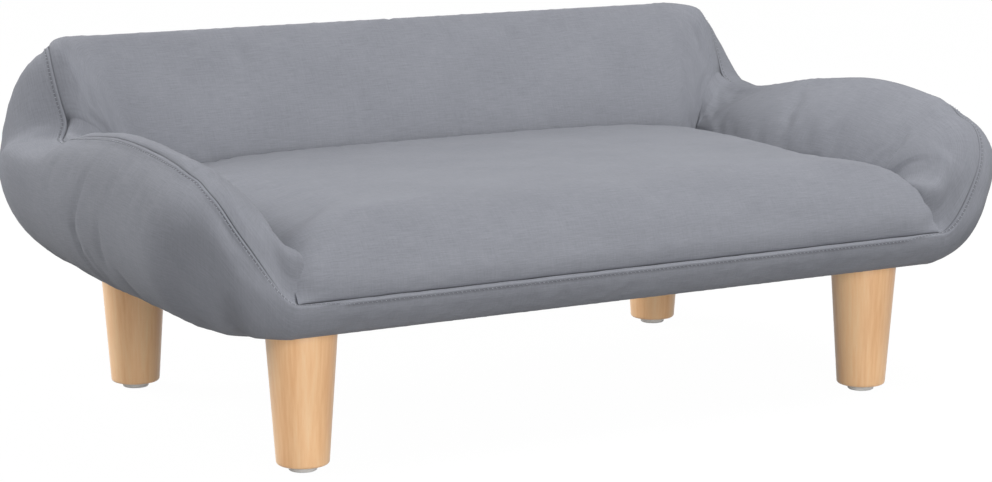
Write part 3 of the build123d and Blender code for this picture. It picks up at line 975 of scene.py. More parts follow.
@dataclass(frozen=True)
class Welt:
    """Relief of a seam, its topstitch and its puckers, and the shade painted in its groove and stitch row.

    A row of outer or inner is a distance from the sewn line and how far the cloth stands out there, both in
    millimetres; the other lengths are in metres.
    """

    outer: tuple = (
        (0.0, -0.7), (0.4, -0.3), (0.8, 0.1), (1.4, 0.35), (2.1, 0.38), (2.8, 0.15), (3.4, -0.15),
        (4.0, 0.1), (4.7, 0.2), (5.6, 0.0), (7.2, -0.25), (9.6, -0.2), (13.0, 0.0),
    )
    inner: tuple = (
        (0.0, -0.7), (0.4, -0.4), (0.9, -0.1), (1.8, 0.05), (3.2, 0.1), (5.5, 0.1), (9.0, 0.05), (14.0, 0.0),
    )
    stitch_at: float = 3.4 * MM
    front_stitch_at: float = 7.2 * MM
    front_blend: float = 45.0 * MM
    stitch_rise: float = 0.2 * MM
    # Painted shade: how far from the sewn line and how strongly the groove is darkened, then the topstitch
    # row's.
    painted_shade_within: float = 0.7 * MM
    dark: float = 0.5
    stitch_painted_shade: float = 0.46
    stitch_spread: float = 0.65 * MM
    pucker: float = 0.4
    pucker_pitch: float = 10.0 * MM

    def puckers(self, seed: int, travel: np.ndarray) -> np.ndarray:
        """Share by which the relief grows at places along the seam."""
        return self.pucker * value_noise(seed, travel, self.pucker_pitch)

    @staticmethod
    def rows(relief: tuple, growth: float, end: float, count: int, sunk: float = 0.0) -> tuple:
        """Rows over a panel's face: those of the relief, then even ones up to its end.

        Args:
            relief: The seam's distances and heights.
            growth: Share by which the relief grows here.
            end: Distance of the last row.
            count: Number of even rows.
            sunk: How far the even rows are drawn in.

        Returns:
            The rows' distances from the sewn line, and their heights.
        """
        near, rise = (np.array(relief) * MM).T
        rest = np.linspace(near[-1], end, count + 1)[1:]
        return np.concatenate([near, rest]), np.concatenate([rise * (1 + growth), np.full(count, -sunk)])

    def shade(self, distance: np.ndarray, stitched: bool, hidden: int) -> np.ndarray:
        """How much painted shade darkens the cloth at distances from the sewn line.

        Args:
            distance: Distances from the sewn line.
            stitched: True on the side that carries the topstitch.
            hidden: Number of rows behind the face, which stay plain.

        Returns:
            The painted shade from 0 to 1.
        """
        # Painted shade in the groove at the sewn line and along the topstitch row.
        seam = self.dark * fade(distance, self.painted_shade_within, -self.painted_shade_within)
        row = self.stitch_painted_shade * np.exp(-(((distance - self.stitch_at) / self.stitch_spread) ** 2))
        return np.concatenate([seam + row * stitched, np.zeros(hidden)])

    def at_front(self, share: float, half_width: float) -> "Welt":
        """The seam at a share of the front's half width, where the topstitch runs lower than on the arms."""
        blend = ease(min(1.0, (1 - abs(share)) * half_width / self.front_blend))
        return replace(self, stitch_at=self.stitch_at + blend * (self.front_stitch_at - self.stitch_at))

    def stitch_place(self, line: np.ndarray) -> np.ndarray:
        """The topstitch's place on a panel's face line."""
        places, normals = read_line(line, np.array([self.stitch_at]))
        return places + self.stitch_rise * normals


@dataclass(frozen=True)
class Stand:
    """Where a section stands in plan: a point on the seat's edge and the way out from it."""

    pivot: np.ndarray
    out: np.ndarray

    def place(self, section: np.ndarray) -> np.ndarray:
        """Section points, distances out and heights, put in their place in the frame."""
        return np.column_stack([self.pivot + section[:, :1] * self.out, section[:, 1]])


@dataclass(frozen=True)
class Station:
    """A fitted section of the wall: where it stands, its full height, and the shares that shape it."""

    pivot: np.ndarray
    heading: float
    top: float
    crown: float
    heel: float
    rise: float
    drop: float
    bulge: float
    crest: float
    seam: float
    flare: float


@dataclass(frozen=True)
class WallShape:
    """The padded wall: its plan, its heights, and the shares that shape it round the seat.

    A row of shares is that of the crest's height, the seam's drop, the widest line's height, the places of
    crest and seam, and the flare. Before it stands the section's heading, or its place along the arm, or
    None for the last one, which runs on along the seat's side.
    """

    TO_BACK, TO_SIDE, TO_FRONT = 90.0, 180.0, 270.0

    length: float = 700 * MM
    depth: float = 410 * MM
    height: float = 270 * MM
    leg_height: float = 100 * MM
    arm_height: float = 223 * MM
    front_seam_height: float = 126 * MM
    back_corner_radius: float = 95 * MM
    front_corner_radius: float = 70 * MM
    arm_width_back: float = 105 * MM
    arm_width_front: float = 87 * MM
    backrest_width: float = 103 * MM
    crease_radius: float = 2.5 * MM
    tuck_height: float = 147 * MM
    heel_tuck: float = 8 * MM
    seam_tuck: float = 2 * MM
    hem_height: float = 100.8 * MM
    hem_width: float = 27 * MM
    heel_share: float = 0.54
    heel_back_share: float = 0.40
    heel_front_shares: tuple = (0.58, 0.66, 0.74, 0.78, 0.80)
    back_shares: tuple = (1.0, 0.037, 0.58, 0.68, 0.765, 0.21)
    back_corner_shares: tuple = (
        (110.0, 0.995, 0.037, 0.615, 0.77, 0.897, 0.266),
        (128.0, 0.979, 0.025, 0.762, 0.694, 0.746, 0.447),
        (153.0, 0.66, 0.011, 0.735, 0.495, 0.525, 0.684),
    )
    arm_rear_shares: tuple = (
        (165.0, 0.855, 0.05, 0.85, 0.53, 0.568, 0.764),
        (180.0, 0.851, 0.045, 0.85, 0.565, 0.61, 0.627),
    )
    arm_shares: tuple = (
        (1 / 3, 0.955, 0.022, 0.658, 0.651, 0.738, 0.655),
        (2 / 3, 1.017, 0.023, 0.589, 0.678, 0.737, 0.692),
        (1.0, 0.966, 0.036, 0.576, 0.624, 0.682, 0.679),
    )
    arm_front_shares: tuple = (
        (200.0, 0.917, 0.043, 0.669, 0.551, 0.686, 0.594),
        (219.0, 0.859, 0.074, 0.732, 0.628, 0.845, 0.592),
        (237.0, 0.777, 0.354, 0.652, 0.699, 0.962, 0.58),
        (253.0, 0.619, 0.708, 0.863, 0.753, 0.952, 0.486),
        (None, 0.505, 1.0, 0.96, 0.801, 0.915, 0.379),
    )
    back_stretch: tuple = (0.0, 0.3, 0.6, 0.85, 1.0)
    face_bulge: float = 5 * MM
    shoulder_fall: float = 0.06
    crown_back: float = 20 * MM
    crown_arm: float = 18 * MM
    crown_front: float = 13 * MM
    step: float = 4.5 * MM
    blur: float = 4 * MM

    @property
    def pinch_station(self) -> int:
        """Number of the station where the backrest's end meets the arm."""
        return len(self.back_stretch) + len(self.back_corner_shares) - 1

    @property
    def seat_half_back(self) -> float:
        """Half width of the seat at its back."""
        return self.length / 2 - self.arm_width_back

    @property
    def seat_half_front(self) -> float:
        """Half width of the seat where its front rounds off."""
        return self.length / 2 - self.arm_width_front

    @property
    def seat_back_y(self) -> float:
        """Depth of the seat's back edge."""
        return self.depth / 2 - self.backrest_width

    @property
    def front_turn_y(self) -> float:
        """Depth of the centre that the front corners turn about."""
        return self.front_corner_radius - self.depth / 2

    @property
    def taper(self) -> float:
        """Angle of the seat's sides, in degrees."""
        widening = self.seat_half_front - self.seat_half_back
        return degrees(atan2(widening, self.seat_back_y - self.front_turn_y))

    @property
    def front_half(self) -> float:
        """Half width of the front seam."""
        return self.seat_half(-self.depth / 2)

    def seat_half(self, y: float) -> float:
        """Half width of the seat at a depth."""
        return self.seat_half_back + (self.seat_back_y - y) * tan(radians(self.taper))

    def front_stand(self, share: float) -> Stand:
        """Where the last section stands when it is carried across the front.

        Args:
            share: Share of the half width, from -1 at the left to 1 at the right.

        Returns:
            The section's stand.
        """
        pivot = np.array([share * self.seat_half(self.front_turn_y), self.front_turn_y])
        angle = radians(self.taper)
        return Stand(pivot, np.array([share * sin(angle), -cos(angle)]))

    def reach(self, pivot: np.ndarray, heading: float) -> float:
        """Distance from a pivot to the widest line of the body.

        Args:
            pivot: Plan point on the seat's edge.
            heading: Direction in degrees.

        Returns:
            The distance.
        """
        out = towards(heading)
        side_y = self.depth / 2 if out[1] > 0 else -self.depth / 2
        to_end = (-self.length / 2 - pivot[0]) / out[0] if out[0] < -NEGLIGIBLE else self.length
        to_side = (side_y - pivot[1]) / out[1] if abs(out[1]) > NEGLIGIBLE else self.length
        distance = min(to_end, to_side)
        hit = pivot + distance * out
        radius = self.back_corner_radius if hit[1] > 0 else self.front_corner_radius
        centre = np.array([radius - self.length / 2, (self.depth / 2 - radius) * (1 if hit[1] > 0 else -1)])
        if hit[0] < centre[0] and abs(hit[1]) > abs(centre[1]):
            away = pivot - centre
            along = float(away @ out)
            distance = -along + (along**2 - float(away @ away) + radius**2) ** 0.5
        return distance

    def stations(self) -> list[Station]:
        """The fitted sections of the left half, from the middle of the backrest to the front.

        Returns:
            The sections in that order.
        """
        rear = np.array([-self.seat_half_back, self.seat_back_y])
        front = np.array([-self.seat_half_front, self.front_turn_y])
        back = (self.height, self.crown_back, self.heel_back_share)
        arm = (self.arm_height, self.crown_arm, self.heel_share)
        end = (self.arm_height, self.crown_front)
        middle = np.array([0.0, self.seat_back_y])
        rows = []
        for place in self.back_stretch:
            rows.append(Station(middle + (rear - middle) * place, self.TO_BACK, *back, *self.back_shares))
        rows += [Station(rear, turn, *back, *shares) for turn, *shares in self.back_corner_shares]
        rows += [Station(rear, turn, *arm, *shares) for turn, *shares in self.arm_rear_shares]
        for place, *shares in self.arm_shares:
            rows.append(Station(rear + (front - rear) * place, self.TO_SIDE, *arm, *shares))
        for heel, (turn, *shares) in zip(self.heel_front_shares, self.arm_front_shares):
            rows.append(Station(front, turn or self.TO_FRONT - self.taper, *end, heel, *shares))
        return rows

    def measures(self, station: Station) -> tuple[float, ...]:
        """A section's heights and its shares of the reach.

        Args:
            station: The fitted section.

        Returns:
            Heights of crest, seam, widest line and heel, shares of crest, seam and flare, crown radius.
        """
        crest_z = self.leg_height + station.rise * (station.top - self.leg_height)
        seam_z = crest_z - station.drop * (crest_z - self.front_seam_height)
        bulge_z = self.leg_height + station.bulge * (seam_z - self.leg_height)
        heel_z = self.leg_height + station.heel * (crest_z - self.leg_height)
        return crest_z, seam_z, bulge_z, heel_z, station.crest, station.seam, station.flare, station.crown


class WallRun:
    """The left half of the wall as evenly spaced sections, from the middle of the backrest to the front."""

    DENSE = 60
    CHORDS = 36
    HEM_CHORDS = 7
    TUCK_CHORDS = 4

    def __init__(self, shape: WallShape) -> None:
        """Reads the shape's stations and spaces the sections evenly along the widest line.

        Args:
            shape: The wall's sizes.
        """
        self.shape = shape
        stations = shape.stations()
        plan = np.array([(*station.pivot, station.heading) for station in stations])
        steps = np.arange(self.DENSE)[:, None] / self.DENSE
        stretches = [near + (far - near) * steps for near, far in zip(plan, plan[1:])]
        dense = np.vstack([*stretches, plan[-1:]])
        full = np.array([shape.reach(row[:2], row[2]) for row in dense])
        travel = lengths(dense[:, :2] + full[:, None] * towards(dense[:, 2]))
        self.travel = np.linspace(0.0, travel[-1], int(round(travel[-1] / shape.step)) + 1)
        x, y, self.heading, self.full = (np.interp(self.travel, travel, row) for row in (*dense.T, full))
        self.pivot = np.column_stack([x, y])
        self.out = towards(self.heading)
        self.turn = int(np.flatnonzero(self.heading <= self.heading[0] + SAME_HEADING)[-1])
        measures = np.array([shape.measures(station) for station in stations]).T
        knots = travel[:: self.DENSE]
        smooth = [monotone(knots, row, self.travel, shape.pinch_station) for row in measures]
        rows = [blurred(row, self.travel[1], shape.blur) for row in smooth]
        self.crest_z, self.seam_z, self.bulge_z, self.heel_z = rows[:4]
        self.crest, self.seam, self.flare, self.crown = rows[4:]
        self.crest_travel = lengths(self.pivot + (self.crest * self.full)[:, None] * self.out)

    def both_halves(self, last: int, along: np.ndarray) -> tuple[list[tuple[int, Side]], np.ndarray]:
        """Columns of a piece that crosses the middle of the backrest.

        Args:
            last: Number of the section at which it ends on either side.
            along: Distance of every section from the middle.

        Returns:
            Each column's section and side, and its distance from the middle, negative on the left.
        """
        numbers = np.arange(last + 1)
        columns = [(k, Side.LEFT) for k in numbers[::-1]] + [(k, Side.RIGHT) for k in numbers[1:]]
        return columns, np.concatenate([-along[numbers[::-1]], along[numbers[1:]]])

    def stand(self, k: int, side: Side) -> Stand:
        """Where a section stands on either side."""
        mirror = np.array([int(side), 1])
        return Stand(self.pivot[k] * mirror, self.out[k] * mirror)

    def outer_line(self, k: int) -> tuple[np.ndarray, float]:
        """The outside of a section from the seam down to the foot and in along the hem.

        Args:
            k: The section's number.

        Returns:
            The line of distances out and heights, and the length of its part above the hem.
        """
        shape = self.shape
        bulge = (self.full[k], self.bulge_z[k])
        drop = self.bulge_z[k] - shape.hem_height
        flare = min(self.flare[k] * self.full[k], drop)
        radius = (flare**2 + drop**2) / (2 * flare)
        foot = (self.full[k] - radius + max(radius**2 - drop**2, 0) ** 0.5, shape.hem_height)
        seam = (self.seam[k] * self.full[k], self.seam_z[k])
        out = arc(bulge, seam, (0, 1), self.CHORDS)[-2] - np.array(seam)
        leave = (out[0], min(out[1], -shape.shoulder_fall * out[0]))
        shoulder = swing(seam, bulge, leave, (0, -1), self.CHORDS)
        body = np.vstack([shoulder, arc(bulge, foot, (0, -1), self.CHORDS)[1:]])
        hem_end = (max(foot[0] - shape.hem_width, shape.crease_radius), foot[1])
        hem = np.linspace(foot, hem_end, self.HEM_CHORDS + 1)[1:]
        return np.vstack([body, hem]), float(lengths(body)[-1])

    def inner_line(self, k: int) -> np.ndarray:
        """The inside of a section from the seam over the crest and down behind the seat.

        Args:
            k: The section's number.

        Returns:
            The line of distances out and heights.
        """
        shape = self.shape
        seam = (self.seam[k] * self.full[k], self.seam_z[k])
        crest = (self.crest[k] * self.full[k], self.crest_z[k])
        heel = np.array([shape.crease_radius, self.heel_z[k]])
        run = (crest[0] - heel[0], crest[1] - self.crown[k] - heel[1])
        length = (hypot(*run) ** 2 - self.crown[k] ** 2) ** 0.5
        angle = atan2(run[1], run[0]) + atan2(self.crown[k], length)
        crown_end = heel + length * np.array([cos(angle), sin(angle)])
        shoulder, _ = self.outer_line(k)
        front = swing(seam, crest, tuple(shoulder[0] - shoulder[1]), (-1, 0), self.CHORDS)
        back = arc(crest, tuple(crown_end), (-1, 0), self.CHORDS)
        share = np.linspace(0, 1, self.CHORDS)[1:, None]
        normal = np.array([heel[1] - crown_end[1], crown_end[0] - heel[0]]) / length
        face = crown_end + (heel - crown_end) * share + shape.face_bulge * np.sin(pi * share) * normal
        tuck_z = min(shape.tuck_height, heel[1] - shape.heel_tuck, seam[1] - shape.seam_tuck)
        tuck = np.linspace(heel, (heel[0], tuck_z), self.TUCK_CHORDS + 1)[1:]
        return np.vstack([front, back[1:], face, tuck])


@dataclass(frozen=True)
class ShellCut:
    """Rows of points on an outside panel, and the wadding behind it."""

    body_rows: int = 20
    hem_rows: int = 4
    back_rows: tuple = (0, 5)
    back_every: int = 3
    wadding: float = 5.0 * MM
    hem_thickness: float = 1.4 * MM
    thin_within: float = 24 * MM
    hold: Hold = Hold(9 * MM, 12 * MM, 6 * MM, 14 * MM)

    def loop(self, line: np.ndarray, body: float, welt: Welt, growth: float) -> tuple[np.ndarray, ...]:
        """A panel's closed loop in its section plane.

        Args:
            line: The panel's face from the seam to the end of the hem.
            body: Length of that line above the hem.
            welt: The seam's relief.
            growth: Share by which the relief grows here.

        Returns:
            The loop's points, their distances along the cloth, their shade and how they are held.
        """
        at, heights = welt.rows(welt.outer, growth, body, self.body_rows)
        hem = np.linspace(body, lengths(line)[-1], self.hem_rows + 1)[1:]
        behind = [at[list(self.back_rows)], at[len(welt.outer) : -1 : self.back_every], at[-1:], hem[-1:]]
        back_at = np.concatenate(behind)
        at, heights = np.concatenate([at, hem]), np.concatenate([heights, np.zeros(self.hem_rows)])
        places, normals = read_line(line, at)
        back_places, back_normals = read_line(line, back_at)
        padding = (self.wadding - self.hem_thickness) * fade(back_at, body, -self.thin_within)
        thick = self.hem_thickness + padding
        back = (back_places - thick[:, None] * back_normals)[::-1]
        points = np.vstack([places + heights[:, None] * normals, back])
        distance = np.concatenate([at, back_at[::-1]])
        return points, distance, welt.shade(at, True, len(back)), self.hold.held(at, body, len(back))


class OuterShells:
    """The outside cloth: one panel across the back, one round each side, and the border of the seat."""

    WALL_SEED = 11
    BORDER_SEED = 12

    def __init__(self, run: WallRun, welt: Welt, cut: ShellCut) -> None:
        """Keeps what the panels are cut from.

        Args:
            run: The wall's sections.
            welt: The seam's relief.
            cut: Rows and thickness of the panels.
        """
        self.run = run
        self.welt = welt
        self.cut = cut

    def _panel(self, name: str, seed: int, columns: list[tuple], travel: np.ndarray) -> bpy.types.Object:
        """Builds a panel from columns.

        Args:
            name: The piece's name.
            seed: Seed of its puckers.
            columns: Each column's section, stand and seam.
            travel: Each column's distance along the seam.

        Returns:
            The piece.
        """
        loops = []
        for (k, stand, welt), u, growth in zip(columns, travel, self.welt.puckers(seed, travel)):
            loop, distance, shade, held = self.cut.loop(*self.run.outer_line(k), welt, growth)
            uv = np.column_stack([np.full(len(distance), u), -distance])
            loops.append((stand.place(loop), uv, shade, held))
        return Lattice.of(loops).build(name)

    def back(self) -> bpy.types.Object:
        """The panel across the back.

        Returns:
            The piece.
        """
        numbers, travel = self.run.both_halves(self.run.turn, self.run.travel)
        columns = [(k, self.run.stand(k, side), self.welt) for k, side in numbers]
        return self._panel("back_shell", self.WALL_SEED, columns, travel)

    def side(self, side: Side) -> bpy.types.Object:
        """The panel round one side, from where the backrest starts to turn to the border.

        Args:
            side: The side.

        Returns:
            The piece.
        """
        numbers = np.arange(self.run.turn, len(self.run.travel))
        columns = [(k, self.run.stand(k, side), self.welt) for k in numbers]
        return self._panel(f"side_shell_{side.label}", self.WALL_SEED, columns, self.run.travel[numbers])

    def border(self) -> bpy.types.Object:
        """The band below the front seam.

        Returns:
            The piece.
        """
        shape = self.run.shape
        half = shape.front_half
        shares = np.linspace(-1, 1, int(2 * half / shape.step) + 1)
        last = len(self.run.travel) - 1
        columns = [(last, shape.front_stand(share), self.welt.at_front(share, half)) for share in shares]
        return self._panel("front_border", self.BORDER_SEED, columns, shares * half)


@dataclass(frozen=True)
class PadCut:
    """Rows of points on the inside cloth of the wall, and the crease where two pads meet."""

    body_rows: int = 34
    hidden_rows: int = 6
    hidden_from: float = 9.0 * MM
    hidden_least: float = 4.0 * MM
    hidden_inset: float = 9.0 * MM
    hidden_apart: float = 2.0 * MM
    hidden_below: float = 1.0 * MM
    drawn_in: float = 0.6 * MM
    crease_heading: float = 153.0
    crease_width: float = 8.0 * MM
    crease_held: float = 3.0 * MM
    crease_over: float = 12.0 * MM
    dimple_depth: float = 1.6 * MM
    dimple_reach: float = 5.0 * MM
    fold_depth: float = 0.15 * MM
    corner_depth: float = 2.5 * MM
    corner_from: float = 66.0 * MM
    corner_full: float = 44.0 * MM
    # Painted shade in the dimple of the crease where two pads meet.
    dimple_painted_shade: float = 0.7
    soft_columns: int = 5
    soft_from: float = 14 * MM
    soft_over: float = 18 * MM
    soft_until: float = 240.0
    soft_fade: float = 28.0
    core_share: float = 0.45
    core_height: float = 122 * MM
    end_insets: tuple = (1.2 * MM, 3.2 * MM, 5.8 * MM, 8.4 * MM, 10.4 * MM)
    end_shares: tuple = (0.006, 0.025, 0.07, 0.14, 0.23)
    end_step: float = 3 * MM
    hold: Hold = Hold(6 * MM, 12 * MM, 8 * MM, 20 * MM)


class WallPads:
    """The padded backrest and arms, each from the seam over its crest and down behind the seat."""

    SEED = 21

    def __init__(self, run: WallRun, welt: Welt, cut: PadCut) -> None:
        """Shapes the left half of the padding; the right half mirrors it.

        Args:
            run: The wall's sections.
            welt: The seam's relief.
            cut: Rows, crease and inset of the pads.
        """
        self.run = run
        self.welt = welt
        self.cut = cut
        self.crease = int(np.argmin(np.abs(run.heading - cut.crease_heading)))
        self.away = np.abs(run.travel - run.travel[self.crease])
        loops = [self._loop(k, growth) for k, growth in enumerate(welt.puckers(self.SEED, run.travel))]
        self.points, self.distance, self.shade, self.held = (np.array(part) for part in zip(*loops))
        self._soften()
        for k in range(len(loops)):
            self._draw_in(k)
        self._round_off()

    def _loop(self, k: int, growth: float) -> tuple[np.ndarray, ...]:
        """A pad's closed loop at a section.

        Args:
            k: The section's number.
            growth: Share by which the seam's relief grows there.

        Returns:
            The loop's points, their distances along the cloth, their shade and how they are held.
        """
        cut = self.cut
        line = self.run.inner_line(k)
        total = lengths(line)[-1]
        at, heights = self.welt.rows(self.welt.inner, growth, total, cut.body_rows, cut.drawn_in)
        places, normals = read_line(line, at)
        outer, body = self.run.outer_line(k)
        below = np.flatnonzero(outer[:, 1] < float(line[-1, 1]) + cut.hidden_below)
        depth = max(lengths(outer)[below[0]] if len(below) else body, cut.hidden_from + cut.hidden_least)
        hidden_at = np.linspace(depth, cut.hidden_from, cut.hidden_rows)
        hidden_places, hidden_normals = read_line(outer, hidden_at)
        hidden = hidden_places - cut.hidden_inset * hidden_normals
        hidden[:, 0] = np.maximum(hidden[:, 0], line[-1, 0] + cut.hidden_apart)
        section = np.vstack([places - heights[:, None] * normals, hidden])
        freedom = fade(self.away[k], cut.crease_held, cut.crease_over)
        return (
            self.run.stand(k, Side.LEFT).place(section),
            np.concatenate([at, total + (depth - hidden_at)]),
            self.welt.shade(at, False, cut.hidden_rows),
            cut.hold.held(at, total, cut.hidden_rows, freedom),
        )

    def _soften(self) -> None:
        """Rounds the padding through the inside corners, away from the seam."""
        cut = self.cut
        reach = 3 * cut.soft_columns
        before = self.points[reach:0:-1] * np.array([-1, 1, 1])
        wide = np.concatenate([before, self.points, np.repeat(self.points[-1:], reach, 0)])
        smooth = np.zeros_like(self.points)
        for k, weight in enumerate(bell(reach, cut.soft_columns)):
            smooth += weight * wide[k : k + len(self.points)]
        rows = fade(self.distance, cut.soft_from, cut.soft_over)
        rows[:, -cut.hidden_rows :] = 0
        columns = 1 - fade(self.run.heading, cut.soft_until, cut.soft_fade)
        self.points += (rows * columns[:, None])[:, :, None] * (smooth - self.points)

    def _draw_in(self, k: int) -> None:
        """Draws a section's padding in where the arm meets the backrest and paints shade in the crease.

        Args:
            k: The section's number.
        """
        cut = self.cut
        away = self.away[k] / cut.crease_width
        count = self.points.shape[1] - cut.hidden_rows
        at = self.distance[k, :count]
        dimple = np.exp(-((at / cut.dimple_reach) ** 2))
        corner = fade(at[-1] - at, cut.corner_from, cut.corner_full - cut.corner_from)
        dip = cut.dimple_depth * dimple + cut.corner_depth * ease(corner) + cut.fold_depth
        out = self.run.out[k]
        flat = np.column_stack([self.points[k, :count, :2] @ out, self.points[k, :count, 2]])
        slopes = np.gradient(flat, at, axis=0)
        slopes /= np.linalg.norm(slopes, axis=1)[:, None]
        inwards = np.column_stack([-slopes[:, 1:] * out, slopes[:, 0]])
        self.points[k, :count] += (dip * np.exp(-away))[:, None] * inwards
        # Painted shade in the crease's dimple, kept where it is darker than the seam's.
        dark = cut.dimple_painted_shade * dimple * np.exp(-((2 * away) ** 2))
        self.shade[k, :count] = np.maximum(self.shade[k, :count], dark)

    def _round_off(self) -> None:
        """Adds narrowing loops past the last section, so that the arm's end rolls in beside the seat."""
        run, last = self.run, self.points[-1]
        core = run.pivot[-1] + self.cut.core_share * run.full[-1] * run.out[-1]
        centre = np.array([*core, self.cut.core_height])
        rolls = []
        for inset, share in zip(self.cut.end_insets, self.cut.end_shares):
            rolls.append(centre + (last - centre) * (1 - share) + np.array([inset, 0, 0]))
        self.points = np.concatenate([self.points, rolls])
        self.distance = np.concatenate([self.distance, np.repeat(self.distance[-1:], len(rolls), 0)])
        self.shade = np.concatenate([self.shade, np.repeat(self.shade[-1:], len(rolls), 0)])
        self.held = np.concatenate([self.held, np.ones((len(rolls), self.held.shape[1]))])

    def _pad(self, name: str, columns: list[tuple[int, Side]], travel: np.ndarray) -> bpy.types.Object:
        """Builds a pad through the given sections.

        Args:
            name: The piece's name.
            columns: Each column's section and side.
            travel: Each column's distance along the crest.

        Returns:
            The piece.
        """
        numbers, sides = np.array(columns).T
        points = self.points[numbers].copy()
        points[:, :, 0] *= sides[:, None]
        distance = self.distance[numbers]
        uv = np.stack([np.broadcast_to(travel[:, None], distance.shape), distance], axis=2)
        return Lattice(points, uv, self.shade[numbers], self.held[numbers]).build(name)

    def _travel(self) -> np.ndarray:
        """Distance along the crest for every loop."""
        crest = self.run.crest_travel
        return np.append(crest, crest[-1] + self.cut.end_step * np.arange(1, len(self.cut.end_shares) + 1))

    def backrest(self) -> bpy.types.Object:
        """The backrest pad, from crease to crease."""
        return self._pad("backrest_pad", *self.run.both_halves(self.crease, self._travel()))

    def arm(self, side: Side) -> bpy.types.Object:
        """One arm pad, from the crease to the front seam's corner."""
        numbers = np.arange(self.crease, len(self.points))
        return self._pad(f"arm_pad_{side.label}", [(k, side) for k in numbers], self._travel()[numbers])


# The seat


@dataclass(frozen=True)
class SeatPad:
    """The seat cushion: crowned across, with a front that rolls down to the seam.

    A row of shares is a place from the middle to the side, and the share of the drop there.
    """

    SEED = 31

    height: float = 183 * MM
    edge_radius: float = 12 * MM
    back_drop: float = 0.5 * MM
    side_drop: float = 14 * MM
    roll_turn: float = 100.0
    side_shares: tuple = ((0.0, 0.0), (0.5, 0.07), (0.8, 0.26), (0.93, 0.52), (1.0, 1.0))
    front_drop: float = 9 * MM
    front_shares: tuple = ((0.0, 0.0), (0.75, 0.0), (0.9, 0.25), (0.965, 0.66), (1.0, 1.0))
    front_from: float = -10 * MM
    front_full: float = -120 * MM
    edge_shares: tuple = (0.992, 0.997)
    gap: float = 0.3 * MM
    corner_pull: float = 6.5 * MM
    corner_power: int = 26
    corner_from: float = 8 * MM
    corner_until: float = 60 * MM
    corner_over: float = 30 * MM
    bottom: float = 118 * MM
    bottom_inset: float = 12 * MM
    bottom_rows: int = 8
    tuck: float = 147 * MM
    body_rows: int = 64
    step: float = 4.8 * MM
    chords: int = 40
    edge_chords: int = 12
    tail_chords: int = 5
    side_free: float = 14 * MM
    hold: Hold = Hold(6 * MM, 12 * MM, 25 * MM, 20 * MM)

    def _line(self, run: WallRun, drop: float, fall: float) -> np.ndarray:
        """The cushion's face from the front seam up the roll, back over the top and down behind.

        Args:
            run: The wall's sections.
            drop: How far the whole line lies below the crown.
            fall: How much further its front lies below.

        Returns:
            Depths and heights along the line.
        """
        shape = run.shape
        seam_out = run.seam[-1] * run.full[-1]
        seam = (shape.front_turn_y - seam_out * cos(radians(shape.taper)), run.seam_z[-1])
        top = self.height - drop
        start = (seam[0] + (top - seam[1]) / tan(radians(self.roll_turn / 2)), top)
        corner = (shape.seat_back_y - self.edge_radius, top - self.back_drop)
        edge = (shape.seat_back_y, top - self.back_drop - self.edge_radius)
        roll = arc(start, seam, (-1, 0), self.chords)[::-1]
        crown = arc(start, corner, (1, 0), self.chords)
        rise = arc(corner, edge, (1, 0), self.edge_chords)
        tail = np.linspace(edge, (shape.seat_back_y, self.tuck), self.tail_chords + 1)
        line = np.vstack([roll, crown[1:], rise[1:], tail[1:]])
        forward = fade(line[:, 0], self.front_from, self.front_full - self.front_from)
        up = fade(line[:, 1], seam[1], top - seam[1])
        line[:, 1] -= fall * ease(forward) * up**3
        return line

    def _loop(self, run: WallRun, welt: Welt, share: float, line: np.ndarray, growth: float) -> tuple:
        """A closed loop of the cushion.

        Args:
            run: The wall's sections.
            welt: The front seam's relief.
            share: Share of the half width at which the loop stands.
            line: The face there.
            growth: Share by which the relief grows there.

        Returns:
            The loop's points, uv, shade and hold.
        """
        shape = run.shape
        total = lengths(line)[-1]
        at, heights = welt.rows(welt.inner, growth, total, self.body_rows)
        places, normals = read_line(line, at)
        pull = self.corner_pull * abs(share) ** self.corner_power
        pull = pull * fade(at, 0.0, self.corner_from) * fade(at, self.corner_until, -self.corner_over)
        under_y = np.linspace(shape.seat_back_y, line[0, 0] + self.bottom_inset, self.bottom_rows)
        under = np.column_stack([under_y, np.full(self.bottom_rows, self.bottom)])
        section = np.vstack([places + (heights - pull)[:, None] * normals, under])
        x = share * (shape.seat_half(section[:, 0]) - self.gap)
        distance = np.concatenate([at, total + shape.seat_back_y - under_y])
        freedom = np.clip((1 - abs(share)) * shape.front_half / self.side_free, 0, 1)
        return (
            np.column_stack([x, section]),
            np.column_stack([x, distance]),
            welt.shade(at, False, self.bottom_rows),
            self.hold.held(at, total, self.bottom_rows, freedom),
        )

    def build(self, run: WallRun, welt: Welt) -> bpy.types.Object:
        """Makes the cushion.

        Args:
            run: The wall's sections, which the seat fits between.
            welt: The front seam's relief.

        Returns:
            The piece.
        """
        half = run.shape.front_half
        even = np.linspace(-1, 1, int(2 * half / self.step) + 1)
        edge = np.array(self.edge_shares)
        shares = np.unique(np.concatenate([even, edge, -edge]))
        drops, falls = (
            size * monotone(*np.array(table).T, np.abs(shares))
            for size, table in ((self.side_drop, self.side_shares), (self.front_drop, self.front_shares))
        )
        loops = []
        for share, drop, fall, growth in zip(shares, drops, falls, welt.puckers(self.SEED, shares * half)):
            loops.append(self._loop(run, welt, share, self._line(run, drop, fall), growth))
        return Lattice.of(loops).build("seat_pad")


# Stitches, staples and the dust cloth


@dataclass(frozen=True)
class Bar:
    """The small rounded bar that is laid along curves: its spacing, its sizes and its seed."""

    pitch: float
    length: float
    width: float
    height: float
    seed: int


